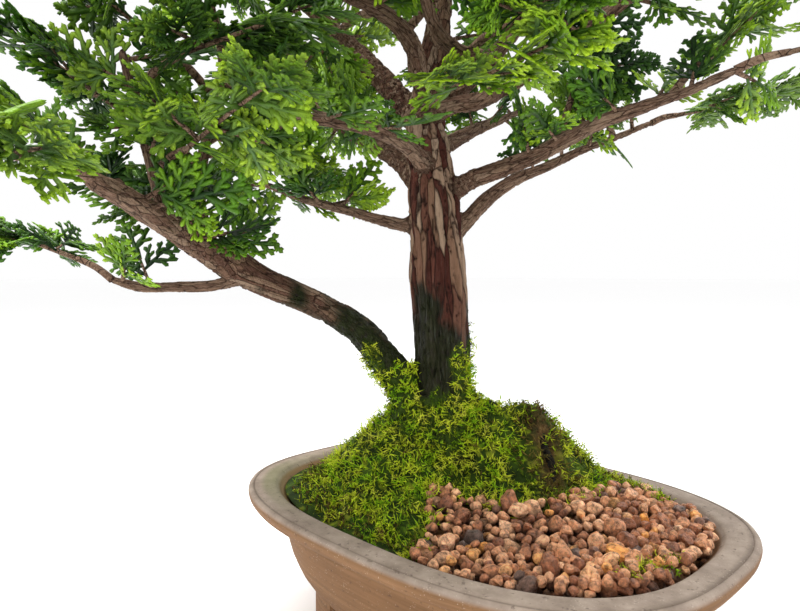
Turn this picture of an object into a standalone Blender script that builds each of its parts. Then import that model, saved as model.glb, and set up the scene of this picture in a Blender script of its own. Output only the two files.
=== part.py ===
"""A hinoki cypress bonsai with its clay pot, drain screens, soil, gravel, moss, wood and foliage.

Metres, +Z up. The pot stands on z = 0 with its long side along X. Sizes below are in millimetres.
The limbs are drawn in the tree's own frame (across, back, up) and turned into the pot's frame.
"""
import math
import random

import bmesh
import bpy
from mathutils import Matrix, Vector, noise

MM = 0.001
GAP = 0.3
UP = Vector((0, 0, 1))
SEED = 28

# Each finish: colour and roughness
FINISHES = {
    "pot_clay": ((0.20, 0.125, 0.085), 0.75),
    "screen_plastic": ((0.03, 0.03, 0.03), 0.6),
    "soil": ((0.10, 0.06, 0.04), 0.95),
    "gravel": ((0.30, 0.12, 0.06), 0.9),
    "moss": ((0.17, 0.23, 0.03), 0.95),
    "bark": ((0.16, 0.085, 0.055), 0.9),
    "foliage": ((0.06, 0.17, 0.05), 0.6),
}

# The pot
POT_LENGTH = 270
POT_WIDTH = 196
POT_HEIGHT = 80
POT_ROUNDNESS = 2.74
POT_STEPS = 36
LIP_WIDTH = 14.6
FLOOR_DEPTH = 55
UNDERSIDE_DEPTH = 62
# Pairs of (inset from the outer rim, height above the rim), up the outside and over the lip
POT_OUTSIDE = ((40, -UNDERSIDE_DEPTH), (34, -59), (27, -49), (22.5, -38), (19.5, -25), (18.5, -13),
               (16.5, -10.5), (3.2, -8.8), (0.6, -6), (0, -3), (1.8, 0))
POT_INSIDE = ((LIP_WIDTH, 0), (17, -3), (22, -10), (25, -18), (29, -38), (33, -48), (41, -FLOOR_DEPTH))
FOOT_OUTER_INSET = 35
FOOT_WALL = 12
FOOT_MIDDLE = 44
FOOT_SPREAD = 17
FOOT_STEPS = 6
FOOT_SUNK = 4
DRAIN_RADIUS = 9
DRAIN_STEPS = 16
DRAIN_PLACE = 55

# The mesh over each drain hole
SCREEN_SIDE = 30
SCREEN_THICK = 1.2
SCREEN_BARS = 3
SCREEN_BAR = 2.4

# The ground in the pot, as heights above the rim at places in the pot's frame
WALL_LEVEL = -4.5
WALL_BLEND = 0.3
LAYER_THICK = 6
LAYER_STEPS = 6
LAYER_MIDDLE = 0.35
LAYER_FOOT_INSET = 23
LAYER_TOP_INSET = 19.8
SOIL_TOP = -12
RIDGE_START = Vector((-42, -12))
RIDGE_END = Vector((8, 34))
MOUND_HEIGHT = 27
HEAP_HEIGHT = 22
LONG_REACH = 66
SHORT_REACH = 36
HEAP_REACH = 80
OPEN_BLEND = 12
OPEN_SIDE = Vector((0.75, -0.66))
MOSS_RELIEF = 2.2
MOSS_LUMP = 16
MOSS_WALL_INSET = 18
MOSS_EDGE = ((28, -120), (25, -65), (7, -44), (-4, -31), (0, -25), (15, -23), (28, -16), (40, -5),
             (48, 10), (53, 38), (58, 74), (62, 120), (-180, 120), (-180, -120))

# Grains of the gravel, and the bed that they are sunk in
BED_DEPTH = 2
BED_GAP = 1.8 * GAP
GRAIN_COUNT = 40
GRAIN_TRIES = 200 * GRAIN_COUNT
GRAIN_FIRST_X = -30
GRAIN_SIZE = 5.6
GRAIN_PITCH = 10.5
GRAIN_RISE = 0.8
GRAIN_MARGIN = 2
GRAIN_WALL_INSET = 20
GRAIN_WIDTHS = (0.8, 1.1)
GRAIN_HEIGHTS = (0.65, 0.85)

# The tree's frame: how far it is turned from the pot's, in degrees
TREE_TURN = 46
ROOT_BASE = ((62, 18, 15, -17), (85, 30, 24, -18), (105, 29, 23, -19), (118, 26, 21, -20),
             (131, 23, 17, -21))
ROOT_CROWN = (138, 13, 12, -17)
ROOT_BACK = 20
ROOT_STEPS = 14
ROOT_FLUTES = 5
ROOT_FLUTE_DEPTH = 0.07
ROOT_GAP = 1.4 * GAP

# Each limb: (across, back, up, radius) along its middle line
LIMBS = {
    "trunk": ((-17, 20, 116, 19), (-16, 20, 136, 16.5), (-17, 20, 159, 15.5), (-19, 20, 198, 15),
              (-22, 20, 238, 14.5), (-24, 20, 260, 12.5), (-26, 18, 288, 10), (-22, 10, 317, 8),
              (-19, 6, 343, 6.2), (-21, 8, 366, 4.4), (-24, 12, 386, 2.8)),
    "left_trunk": ((-20, 20, 118, 11), (-32, 20, 131, 10.5), (-45, 20, 145, 9.2), (-57, 19, 161, 7.8),
                   (-74, 17, 175, 7), (-93, 13, 185, 6.6), (-110, 8, 193, 7), (-125, 2, 201, 7.4),
                   (-138, -15, 211, 6.8), (-146, -45, 221, 5.8), (-150, -78, 228, 4.6),
                   (-153, -108, 233, 3)),
    "low_left": ((-121, 3, 198, 4.2), (-139, 0, 193, 3.4), (-157, -2, 192, 3.2), (-175, -6, 192, 3.2),
                 (-190, -9, 196, 2.2)),
    "left_rise": ((-137, -12, 212, 4.6), (-142, -16, 232, 3.8), (-139, -20, 256, 3.3),
                  (-131, -27, 278, 2.8), (-124, -36, 298, 2.2)),
    "left_shoot": ((-147, -48, 222, 4.2), (-150, -56, 244, 3.4), (-155, -60, 268, 2.9),
                   (-158, -68, 292, 2.2)),
    "mid_left": ((-27, 20, 224, 5), (-49, 25, 229, 3.8), (-66, 30, 234, 3.4), (-83, 36, 239, 3.1),
                 (-100, 44, 244, 2.6), (-114, 52, 250, 2)),
    "low_right": ((-13, 22, 219, 6), (0, 24, 232, 5), (12, 26, 244, 4.5), (26, 28, 253, 3.8),
                  (45, 30, 261, 3.2), (66, 34, 271, 2.8), (86, 38, 279, 2.4), (108, 42, 288, 2)),
    "right": ((-18, 20, 240, 7), (-3, 18, 250, 5.8), (14, 12, 256, 5.2), (32, 4, 262, 4.9),
              (48, -5, 270, 4.6), (62, -15, 276, 4.1), (78, -28, 280, 3.6), (94, -42, 284, 2.8),
              (108, -55, 289, 2.2)),
    "loop": ((-27, 14, 285, 6), (-11, 5, 289, 5.4), (1, -4, 289, 5.1), (8, -15, 292, 4.9),
             (6, -28, 297, 4.7), (-3, -40, 299, 4.4), (-14, -52, 298, 4.1), (-24, -66, 301, 3.6),
             (-30, -80, 309, 2.8), (-33, -94, 319, 2)),
    "upper_right": ((3, -6, 289, 4.8), (17, -10, 297, 5.1), (33, -14, 307, 4.9), (49, -18, 317, 4.5),
                    (62, -22, 327, 4), (76, -28, 337, 3.2), (88, -34, 346, 2.2)),
    "back_right": ((-21, 18, 289, 6.5), (-3, 26, 307, 5.6), (14, 34, 325, 5), (27, 44, 341, 4.3),
                   (38, 54, 357, 3.4), (50, 64, 370, 2.4)),
    "left_upper": ((-23, 20, 273, 9), (-39, 24, 295, 7.6), (-56, 28, 315, 6.6), (-75, 34, 335, 5.6),
                   (-94, 40, 354, 4.6), (-112, 48, 368, 3.4), (-124, 56, 378, 2.4)),
    "left_mid": ((-26, 20, 246, 8), (-40, 26, 262, 6.4), (-55, 32, 273, 5.2), (-73, 38, 284, 4.6),
                 (-90, 44, 298, 4), (-106, 50, 312, 3.2), (-120, 56, 325, 2.2)),
    "front_left": ((-26, 13, 258, 6), (-36, -8, 264, 4.8), (-49, -29, 267, 4), (-64, -48, 267, 3.4),
                   (-84, -66, 266, 2.8), (-104, -80, 268, 2.2)),
    "front": ((-24, 14, 296, 6.5), (-31, -6, 302, 5.6), (-34, -28, 308, 4.9), (-44, -50, 313, 4.2),
              (-62, -70, 315, 3.5), (-84, -88, 316, 2.8), (-104, -102, 319, 2)),
    "back_left": ((-24, 24, 258, 7), (-34, 42, 272, 5.6), (-46, 62, 285, 4.8), (-58, 84, 296, 3.8),
                  (-68, 106, 306, 2.4)),
    "back": ((-18, 24, 270, 6), (-4, 42, 280, 5), (10, 62, 290, 4.2), (26, 84, 300, 3.2),
             (42, 104, 310, 2.2)),
}
LIMB_STEPS = {"trunk": 2}
LIMB_ROUNDNESS = {"trunk": 4, "left_trunk": 2}
TWIG_ROUNDNESS = 0
# How many sprays each limb carries, the part of its length where the first one leaves it, and their rise
SPRAYS = {
    "trunk": (5, 0.72, 0.3), "left_trunk": (5, 0.5, 1.0), "low_left": (3, 0.6, 1.0),
    "left_rise": (5, 0.25, 0.1), "left_shoot": (4, 0.3, 0.1), "mid_left": (3, 0.4, 0.5),
    "front_left": (5, 0.35, 0.3), "low_right": (4, 0.45, 1.0), "right": (4, 0.45, 1.0),
    "loop": (3, 0.6, 0.3), "upper_right": (3, 0.45, 0.3), "back_right": (3, 0.45, 0.3),
    "left_upper": (4, 0.4, 0.3), "left_mid": (3, 0.45, 0.3), "front": (5, 0.38, 0.3),
    "back_left": (3, 0.45, 0.3), "back": (4, 0.4, 0.9),
}
# A twig's mean length, its range of lengths, and how far it turns ahead, aside, down and at random
TWIG_LENGTH = 34
TWIG_RANGE = (0.75, 1.35)
LAST_TWIG = 0.5
TWIG_START = 2.2
TWIG_END = 1.5
TWIG_AHEAD = 0.5
TWIG_ASIDE = 0.9
TWIG_DROOP = 0.25
LAST_AHEAD = 1.6
LAST_LOOSE = 0.6
LOOSE_FIRST = 0.25
LOOSE_MORE = 1.1
SPRAY_STEM = 42
SPRAY_RADIUS = 1.3
SPRAY_THINNING = 0.8
SPRAY_RISE = (-0.25, 0.15)
SPRAY_TILT = 0.55
FAN_LENGTH = 50
FAN_THICK = 0.8
FAN_BEND = 5
FAN_SWING = 7
FAN_ROLL = 16
FAN_SIZES = (0.92, 1.08)
# Each fan of a spray: (place along its stem, swing to the side in degrees, share of the full length)
FAN_PLAN = ((0.97, 0, 1.0), (0.6, 62, 0.82), (0.3, -64, 0.82))
# Each side of a fan: (place on the rib, length) of its lobes, as shares of the fan's length
FAN_LOBES = ((0.10, 0.56), (0.42, 0.42))
FAN_LOBE_SWING = 38
FAN_NOTCH = (0.33, 0.09)
FAN_RIB = 0.03
FAN_SAMPLES = 16
FAN_WIDTH = 0.4
# Foliage stays above these heights, left and right of the two places across the tree
CLEAR_LEFT = 204
CLEAR_RIGHT = 258
CLEAR_FROM = -95
CLEAR_TO = -45
# The side of the cubes in which room is kept free, and the tries a spray gets to find room
ROOM = 5
SKIN_STEP = 2.5
TRIES = 140


def material(name, colour, roughness):
    """A plain Principled finish of one colour."""
    mat = bpy.data.materials.new(name)
    mat.use_nodes = True
    shader = mat.node_tree.nodes["Principled BSDF"]
    shader.inputs["Base Color"].default_value = (*colour, 1)
    shader.inputs["Roughness"].default_value = roughness
    mat.diffuse_color = (*colour, 1)
    return mat


def add(name, bm, mat=None, folder="bonsai"):
    """Make an object of a bmesh, in millimetres, and put it in the named collection."""
    bmesh.ops.scale(bm, vec=(MM, MM, MM), verts=bm.verts)
    bmesh.ops.recalc_face_normals(bm, faces=bm.faces)
    mesh = bpy.data.meshes.new(name)
    bm.to_mesh(mesh)
    bm.free()
    obj = bpy.data.objects.new(name, mesh)
    if mat:
        mesh.materials.append(mat)
    if folder not in bpy.data.collections:
        bpy.context.scene.collection.children.link(bpy.data.collections.new(folder))
    bpy.data.collections[folder].objects.link(obj)
    return obj


def loft(rings, closed=False):
    """Skin a row of rings that have the same number of points, split along the shorter diagonals."""
    bm = bmesh.new()
    rows = [[bm.verts.new(point) for point in ring] for ring in rings]
    pairs = list(zip(rows, rows[1:]))
    if closed:
        pairs.append((rows[-1], rows[0]))
    else:
        bm.faces.new(rows[0])
        bm.faces.new(rows[-1])
    for low, high in pairs:
        for i in range(len(low)):
            j = (i + 1) % len(low)
            if (low[i].co - high[j].co).length < (low[j].co - high[i].co).length:
                bm.faces.new((low[i], low[j], high[j]))
                bm.faces.new((low[i], high[j], high[i]))
            else:
                bm.faces.new((low[i], low[j], high[i]))
                bm.faces.new((low[j], high[j], high[i]))
    return bm


def apply_modifiers(obj):
    """Give the object the mesh that its modifiers make."""
    graph = bpy.context.evaluated_depsgraph_get()
    mesh = bpy.data.meshes.new_from_object(obj.evaluated_get(graph))
    obj.modifiers.clear()
    obj.data = mesh


def cutter(name, bm):
    """A solid that only cuts others."""
    obj = add(name, bm, folder="cutters")
    obj.display_type = "WIRE"
    obj.hide_render = True
    return obj


def cut(obj, tools, operation="DIFFERENCE"):
    """Cut the object with each tool in turn."""
    for tool in tools:
        step = obj.modifiers.new(tool.name, "BOOLEAN")
        step.operation = operation
        step.solver = "MANIFOLD"
        step.object = tool
    apply_modifiers(obj)


def unite(obj, pieces):
    """Fuse the pieces into the object with one Boolean union, and remove them."""
    group = bpy.data.collections.new("fused")
    for piece in pieces:
        group.objects.link(piece)
    step = obj.modifiers.new("union", "BOOLEAN")
    step.operation = "UNION"
    step.solver = "MANIFOLD"
    step.operand_type = "COLLECTION"
    step.collection = group
    apply_modifiers(obj)
    for piece in pieces:
        bpy.data.objects.remove(piece)
    bpy.data.collections.remove(group)


def outline(inset, steps=POT_STEPS, first=0.0, last=2 * math.pi):
    """Points of the pot's plan outline, moved in from the outer rim."""
    a = POT_LENGTH / 2 - inset
    b = POT_WIDTH / 2 - inset
    points = []
    for i in range(steps):
        turn = first + (last - first) * i / steps
        x, y = a * math.cos(turn), b * math.sin(turn)
        reach = (abs(x / a) ** POT_ROUNDNESS + abs(y / b) ** POT_ROUNDNESS) ** (-1 / POT_ROUNDNESS)
        points.append(Vector((x * reach, y * reach)))
    return points


def raised(points, height):
    """Plan points lifted to a height above the table."""
    return [Vector((p.x, p.y, height)) for p in points]


def smooth_step(t):
    """Ease from 0 to 1."""
    t = min(max(t, 0), 1)
    return t * t * (3 - 2 * t)


def wall_share(point, inset=LIP_WIDTH):
    """How far out a plan point is, 0 at the pot's middle and 1 at the inner wall."""
    x = abs(point.x) / (POT_LENGTH / 2 - inset)
    y = abs(point.y) / (POT_WIDTH / 2 - inset)
    return (x ** POT_ROUNDNESS + y ** POT_ROUNDNESS) ** (1 / POT_ROUNDNESS)


def ground(point):
    """Height of the ground above the table at a plan point: a mound at the tree, a heap beside it."""
    along = RIDGE_END - RIDGE_START
    share = (point - RIDGE_START).dot(along) / along.length_squared
    nearest = RIDGE_START + along * min(max(share, 0), 1)
    away = point - nearest
    distance = away.length
    toward = smooth_step(0.5 + 0.5 * away.dot(OPEN_SIDE) / (distance + OPEN_BLEND))
    reach = LONG_REACH + (SHORT_REACH - LONG_REACH) * toward
    mound = MOUND_HEIGHT * smooth_step(1 - distance / reach)
    heap = HEAP_HEIGHT * max(1 - distance / HEAP_REACH, 0)
    wall = smooth_step((1 - wall_share(point)) / WALL_BLEND)
    return POT_HEIGHT + WALL_LEVEL + (mound + heap) * wall


def layer(relief, under):
    """The layer on top of the ground, from wall to wall, with its face shaped by relief."""
    bottom_rim = outline(LAYER_FOOT_INSET + GAP)
    top_rim = outline(LAYER_TOP_INSET + GAP)
    shares = [(k + LAYER_MIDDLE) / (LAYER_STEPS + LAYER_MIDDLE) for k in range(LAYER_STEPS + 1)]
    rings = []
    for share in shares:
        ring = [p * share for p in bottom_rim]
        rings.append([Vector((p.x, p.y, ground(p) - under)) for p in ring])
    for share in reversed(shares):
        ring = [p * share for p in top_rim]
        rings.append([Vector((p.x, p.y, ground(p) + relief(p))) for p in ring])
    return loft(rings)


def tree_to_pot(across, back, up):
    """Turn a place in the tree's frame into the pot's frame."""
    turn = math.radians(TREE_TURN)
    return Vector((across * math.cos(turn) - back * math.sin(turn),
                   across * math.sin(turn) + back * math.cos(turn), up))


def root_ring(up, wide, deep, middle, grow=0.0):
    """One section of the root base, a fluted oval."""
    ring = []
    for i in range(ROOT_STEPS):
        turn = 2 * math.pi * i / ROOT_STEPS
        flute = 1 + ROOT_FLUTE_DEPTH * math.cos(ROOT_FLUTES * turn)
        across = middle + (wide + grow) * flute * math.cos(turn)
        back = ROOT_BACK + (deep + grow) * flute * math.sin(turn)
        ring.append(tree_to_pot(across, back, up))
    return ring


def root_hole():
    """The plain hole that the root base stands in."""
    rings = [root_ring(*section, grow=ROOT_GAP) for section in ROOT_BASE]
    rings[0] = [p - UP * GAP for p in rings[0]]
    rings.append([p + UP * POT_HEIGHT for p in rings[-1]])
    return cutter("root_hole", loft(rings))


def prism(points, low, high):
    """A plan outline carried from one height to another."""
    return loft([raised(points, low), raised(points, high)])


def moss_cutter(name, grow):
    """The moss's plan as a solid, moved out towards the gravel by grow."""
    edge = [Vector(p) + OPEN_SIDE * grow for p in MOSS_EDGE]
    return cutter(name, prism(edge, 0, 3 * POT_HEIGHT))


def moss_relief(point):
    """Tussocks on the moss."""
    lumps = noise.noise(Vector((point.x / MOSS_LUMP, point.y / MOSS_LUMP, 0)))
    return MOSS_RELIEF * lumps * min(1, 4 * (1 - wall_share(point, MOSS_WALL_INSET)) + 0.2)


def box(name, size, place):
    """A box cutter of a size, with its middle at a place."""
    bm = bmesh.new()
    bmesh.ops.create_cube(bm, size=1)
    bmesh.ops.scale(bm, vec=size, verts=bm.verts)
    bmesh.ops.translate(bm, vec=place, verts=bm.verts)
    return cutter(name, bm)


def make_pot(mat):
    """The unglazed clay pot: a lofted shell, four corner feet and two drain holes."""
    profile = list(POT_OUTSIDE) + list(POT_INSIDE)
    bm = loft([raised(outline(inset), POT_HEIGHT + up) for inset, up in profile])
    pot = add("pot", bm, mat)
    feet = []
    for corner in range(4):
        side = 1 if corner in (0, 2) else -1
        middle = math.radians(90 * corner + 45 + side * (FOOT_MIDDLE - 45))
        first, last = middle - math.radians(FOOT_SPREAD), middle + math.radians(FOOT_SPREAD)
        span = last - first
        last = last + span / FOOT_STEPS
        outer = outline(FOOT_OUTER_INSET, FOOT_STEPS + 1, first, last)
        inner = outline(FOOT_OUTER_INSET + FOOT_WALL, FOOT_STEPS + 1, first, last)
        rings = []
        for far, near in zip(outer, inner):
            high = POT_HEIGHT - UNDERSIDE_DEPTH + FOOT_SUNK
            rings.append([Vector((*far, 0)), Vector((*far, high)),
                          Vector((*near, high)), Vector((*near, 0))])
        feet.append(add(f"foot_{corner}", loft(rings), folder="cutters"))
    unite(pot, feet)
    drains = []
    for side in (-1, 1):
        bm = bmesh.new()
        bmesh.ops.create_cone(bm, cap_ends=True, segments=DRAIN_STEPS, radius1=DRAIN_RADIUS,
                              radius2=DRAIN_RADIUS, depth=POT_HEIGHT)
        bmesh.ops.translate(bm, vec=(side * DRAIN_PLACE, 0, 0), verts=bm.verts)
        drains.append(cutter(f"drain_{side}", bm))
    cut(pot, drains)
    return pot


def make_screens(mat):
    """A square of mesh over each drain hole, made as a plate with a grid of holes."""
    floor = POT_HEIGHT - FLOOR_DEPTH
    pitch = (SCREEN_SIDE - SCREEN_BAR) / (SCREEN_BARS - 1)
    hole = pitch - SCREEN_BAR
    for side, name in ((-1, "drain_screen_left"), (1, "drain_screen_right")):
        bm = bmesh.new()
        bmesh.ops.create_cube(bm, size=1)
        bmesh.ops.scale(bm, vec=(SCREEN_SIDE, SCREEN_SIDE, SCREEN_THICK), verts=bm.verts)
        height = floor + GAP + SCREEN_THICK / 2
        bmesh.ops.translate(bm, vec=(side * DRAIN_PLACE, 0, height), verts=bm.verts)
        screen = add(name, bm, mat)
        tools = []
        for row in range(SCREEN_BARS - 1):
            for column in range(SCREEN_BARS - 1):
                x = side * DRAIN_PLACE + (column - (SCREEN_BARS - 2) / 2) * pitch
                y = (row - (SCREEN_BARS - 2) / 2) * pitch
                tools.append(box(f"mesh_hole_{row}_{column}", (hole, hole, 4 * SCREEN_THICK),
                                 (x, y, height)))
        cut(screen, tools)
        for tool in tools:
            bpy.data.objects.remove(tool)


def make_soil(mat):
    """The soil that fills the pot under the moss and the gravel."""
    lower = [(inset + GAP, up) for inset, up in POT_INSIDE if up < SOIL_TOP]
    rings = [raised(outline(lower[-1][0]), POT_HEIGHT - FLOOR_DEPTH + GAP)]
    for inset, up in reversed(lower[:-1]):
        rings.append(raised(outline(inset), POT_HEIGHT + up))
    rim = outline(LAYER_FOOT_INSET + GAP)
    for k in range(LAYER_STEPS, -1, -1):
        ring = [p * (k + LAYER_MIDDLE) / (LAYER_STEPS + LAYER_MIDDLE) for p in rim]
        rings.append([Vector((p.x, p.y, ground(p) - LAYER_THICK - GAP)) for p in ring])
    soil = add("soil", loft(rings), mat)
    tools = [root_hole()]
    room = 2 * GAP
    for side in (-1, 1):
        size = (SCREEN_SIDE + room, SCREEN_SIDE + room, 2 * (SCREEN_THICK + room))
        tools.append(box(f"screen_pocket_{side}", size, (side * DRAIN_PLACE, 0, POT_HEIGHT - FLOOR_DEPTH)))
    cut(soil, tools)
    return soil


def make_moss(mat):
    """The moss cushion over the mound."""
    moss = add("moss", layer(moss_relief, LAYER_THICK), mat)
    cut(moss, [moss_cutter("moss_plan", 0)], "INTERSECT")
    cut(moss, [bpy.data.objects["root_hole"]])
    return moss


def in_gravel(point, edge, margin):
    """Whether a plan point lies on the gravel, clear of the moss edge and of the wall."""
    if wall_share(point, GRAIN_WALL_INSET + margin) > 1:
        return False
    nearest = min((point - (a + (b - a) * t)).length
                  for a, b in zip(edge, edge[1:]) for t in (0, 0.25, 0.5, 0.75, 1))
    inside = False
    for a, b in zip(edge, edge[1:] + edge[:1]):
        if (a.y > point.y) != (b.y > point.y):
            if point.x < a.x + (b.x - a.x) * (point.y - a.y) / (b.y - a.y):
                inside = not inside
    return not inside and nearest > margin


def make_gravel(mat):
    """The bed of coarse grains beside the moss: a thin slab with larger grains sunk in it."""
    gravel = add("gravel", layer(lambda point: -BED_DEPTH, LAYER_THICK), mat)
    cut(gravel, [moss_cutter("gravel_edge", BED_GAP)])
    rng = random.Random(SEED)
    edge = [Vector(p) for p in MOSS_EDGE]
    places = []
    tries = 0
    while len(places) < GRAIN_COUNT and tries < GRAIN_TRIES:
        tries += 1
        x = rng.uniform(GRAIN_FIRST_X, POT_LENGTH / 2)
        point = Vector((x, rng.uniform(-POT_WIDTH / 2, POT_WIDTH / 2)))
        if not in_gravel(point, edge, GRAIN_SIZE + GRAIN_MARGIN):
            continue
        if all((point - other).length > GRAIN_PITCH for other in places):
            places.append(point)
    grains = []
    for k, point in enumerate(places):
        bm = bmesh.new()
        bmesh.ops.create_icosphere(bm, subdivisions=1, radius=GRAIN_SIZE)
        shape = [rng.uniform(*GRAIN_WIDTHS), rng.uniform(*GRAIN_WIDTHS), rng.uniform(*GRAIN_HEIGHTS)]
        bmesh.ops.scale(bm, vec=shape, verts=bm.verts)
        spin = Matrix.Rotation(rng.uniform(0, 2 * math.pi), 3, Vector((rng.random(), rng.random(), 3)))
        bmesh.ops.rotate(bm, matrix=spin, verts=bm.verts)
        height = ground(point) + GRAIN_RISE
        bmesh.ops.translate(bm, vec=(*point, height), verts=bm.verts)
        grains.append(add(f"grain_{k}", bm, folder="cutters"))
    unite(gravel, grains)
    return gravel


def smoothed(points, steps=1):
    """A Catmull-Rom curve through the points of a limb, each (place, radius)."""
    result = []
    last = len(points) - 1
    for k in range(last):
        a, b, c, d = (points[max(k - 1, 0)], points[k], points[k + 1], points[min(k + 2, last)])
        for i in range(steps):
            t = i / steps
            weights = ((-t ** 3 + 2 * t ** 2 - t) / 2, (3 * t ** 3 - 5 * t ** 2 + 2) / 2,
                       (-3 * t ** 3 + 4 * t ** 2 + t) / 2, (t ** 3 - t ** 2) / 2)
            place = sum((p[0] * w for p, w in zip((a, b, c, d), weights)), Vector((0, 0, 0)))
            result.append((place, b[1] + (c[1] - b[1]) * t))
    result.append(points[last])
    return result


def limb_path(name):
    """The middle line of a limb in the pot's frame."""
    points = [(tree_to_pot(*point[:3]), point[3]) for point in LIMBS[name]]
    return smoothed(points, LIMB_STEPS.get(name, 1))


def point_on(path, share):
    """The place, radius and direction part-way along a path."""
    lengths = [0.0]
    for (a, _), (b, _) in zip(path, path[1:]):
        lengths.append(lengths[-1] + (b - a).length)
    wanted = share * lengths[-1]
    for k in range(1, len(path)):
        if lengths[k] >= wanted or k == len(path) - 1:
            t = (wanted - lengths[k - 1]) / (lengths[k] - lengths[k - 1])
            a, b = path[k - 1], path[k]
            return a[0].lerp(b[0], t), a[1] + (b[1] - a[1]) * t, (b[0] - a[0]).normalized()


def cubes(points):
    """The cubes of room that the points lie in."""
    return {tuple(round(c / ROOM) for c in point) for point in points}


def swollen(room):
    """The cubes and their neighbours."""
    near = (-1, 0, 1)
    return {(x + i, y + j, z + k) for x, y, z in room for i in near for j in near for k in near}


def path_points(path, skip=0.0):
    """Points on the skin of a limb, leaving out its first stretch."""
    points = []
    length = sum((b[0] - a[0]).length for a, b in zip(path, path[1:]))
    count = int(length / SKIN_STEP) + 1
    for i in range(count + 1):
        share = i / count
        if share * length < skip:
            continue
        place, radius, heading = point_on(path, share)
        side = heading.orthogonal().normalized()
        ways = max(4, int(radius * SKIN_STEP))
        for k in range(ways):
            points.append(place + Matrix.Rotation(2 * math.pi * k / ways, 3, heading) @ side * radius)
    return points


def spray_fans(foot, heading, normal, rng):
    """Where each fan of a spray sits: (foot, direction, normal, length)."""
    fans = []
    for along, swing, share in FAN_PLAN:
        turn = Matrix.Rotation(math.radians(swing + rng.uniform(-FAN_SWING, FAN_SWING)), 3, normal)
        direction = turn @ heading
        roll = Matrix.Rotation(math.radians(rng.uniform(-FAN_ROLL, FAN_ROLL)), 3, direction)
        length = FAN_LENGTH * share * rng.uniform(*FAN_SIZES)
        fans.append((foot + heading * SPRAY_STEM * along, direction, roll @ normal, length))
    return fans


def fan_bend(share):
    """How far a fan's blade rises or droops off its plane at a share of its length."""
    return FAN_BEND * (math.sin(share * math.pi) - share)


def fan_outline():
    """The cut outline of a fan one unit long, as (along, across) points."""
    half = [(0.0, FAN_RIB)]
    swing = math.radians(FAN_LOBE_SWING)
    ahead, out = math.cos(swing), math.sin(swing)
    for root, length in FAN_LOBES:
        half.append((root + ahead * length, FAN_RIB + out * length))
        half.append((root + FAN_NOTCH[0], FAN_NOTCH[1]))
    return half + [(1.0, 0.0)] + [(along, -across) for along, across in reversed(half)]


def fan_places(fan, points):
    """Points of the flat fan carried to its place on a spray."""
    foot, direction, normal, length = fan
    side = normal.cross(direction)
    return [foot + direction * along * length + side * across * length + normal * fan_bend(along)
            for along, across in points]


def fan_samples(fan):
    """Points spread over a fan, to keep its room."""
    points = []
    for i in range(3, FAN_SAMPLES + 1):
        along = i / FAN_SAMPLES
        half = FAN_WIDTH * math.sin(min(along * 1.25, 1) * math.pi * 0.72 + 0.2) + 0.02
        count = max(1, int(half * FAN_SAMPLES))
        points += [(along, half * k / count) for k in range(-count, count + 1)]
    return fan_places(fan, points)


def clear_height(point):
    """The height that foliage stays above: low far left, high at the trunk and right of it."""
    turn = math.radians(TREE_TURN)
    across = point.x * math.cos(turn) + point.y * math.sin(turn)
    share = smooth_step((across - CLEAR_FROM) / (CLEAR_TO - CLEAR_FROM))
    return CLEAR_LEFT + (CLEAR_RIGHT - CLEAR_LEFT) * share


def twig_aim(heading, side, rise, last, attempt, rng):
    """The way a twig sets off: aside from its limb, or on from its end, and freer with each try."""
    loose = LOOSE_FIRST + LOOSE_MORE * attempt / TRIES
    jitter = Vector((rng.uniform(-1, 1), rng.uniform(-1, 1), rng.uniform(-0.7, 1))) * loose
    if last:
        return (heading * LAST_AHEAD + jitter * LAST_LOOSE).normalized()
    return (heading * TWIG_AHEAD + side * TWIG_ASIDE + UP * rise + jitter).normalized()


def grow_twig(place, radius, aim, reach):
    """The middle line of a twig, which droops over its outer half."""
    start = min(radius, TWIG_START)
    middle = place + aim * reach * 0.5
    end = middle + (aim - UP * TWIG_DROOP).normalized() * reach * 0.5
    return smoothed([(place, start), (middle, (start + TWIG_END) / 2), (end, TWIG_END)])


def try_spray(place, radius, aim, reach, rng):
    """A twig and its spray: (twig, foot, heading, normal, fans)."""
    twig = grow_twig(place, radius, aim, reach)
    foot = twig[-1][0]
    heading = (foot - twig[-2][0]).normalized()
    heading = (heading + UP * rng.uniform(*SPRAY_RISE)).normalized()
    tilt = Vector((rng.uniform(-SPRAY_TILT, SPRAY_TILT), rng.uniform(-SPRAY_TILT, SPRAY_TILT), 1))
    normal = (tilt - heading * tilt.dot(heading)).normalized()
    return twig, foot, heading, normal, spray_fans(foot, heading, normal, rng)


def spray_points(foot, heading, fans):
    """Points spread over a spray's stem and fans."""
    points = path_points([(foot, SPRAY_RADIUS), (foot + heading * SPRAY_STEM, SPRAY_RADIUS)])
    for fan in fans:
        points += fan_samples(fan)
    return points


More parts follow.
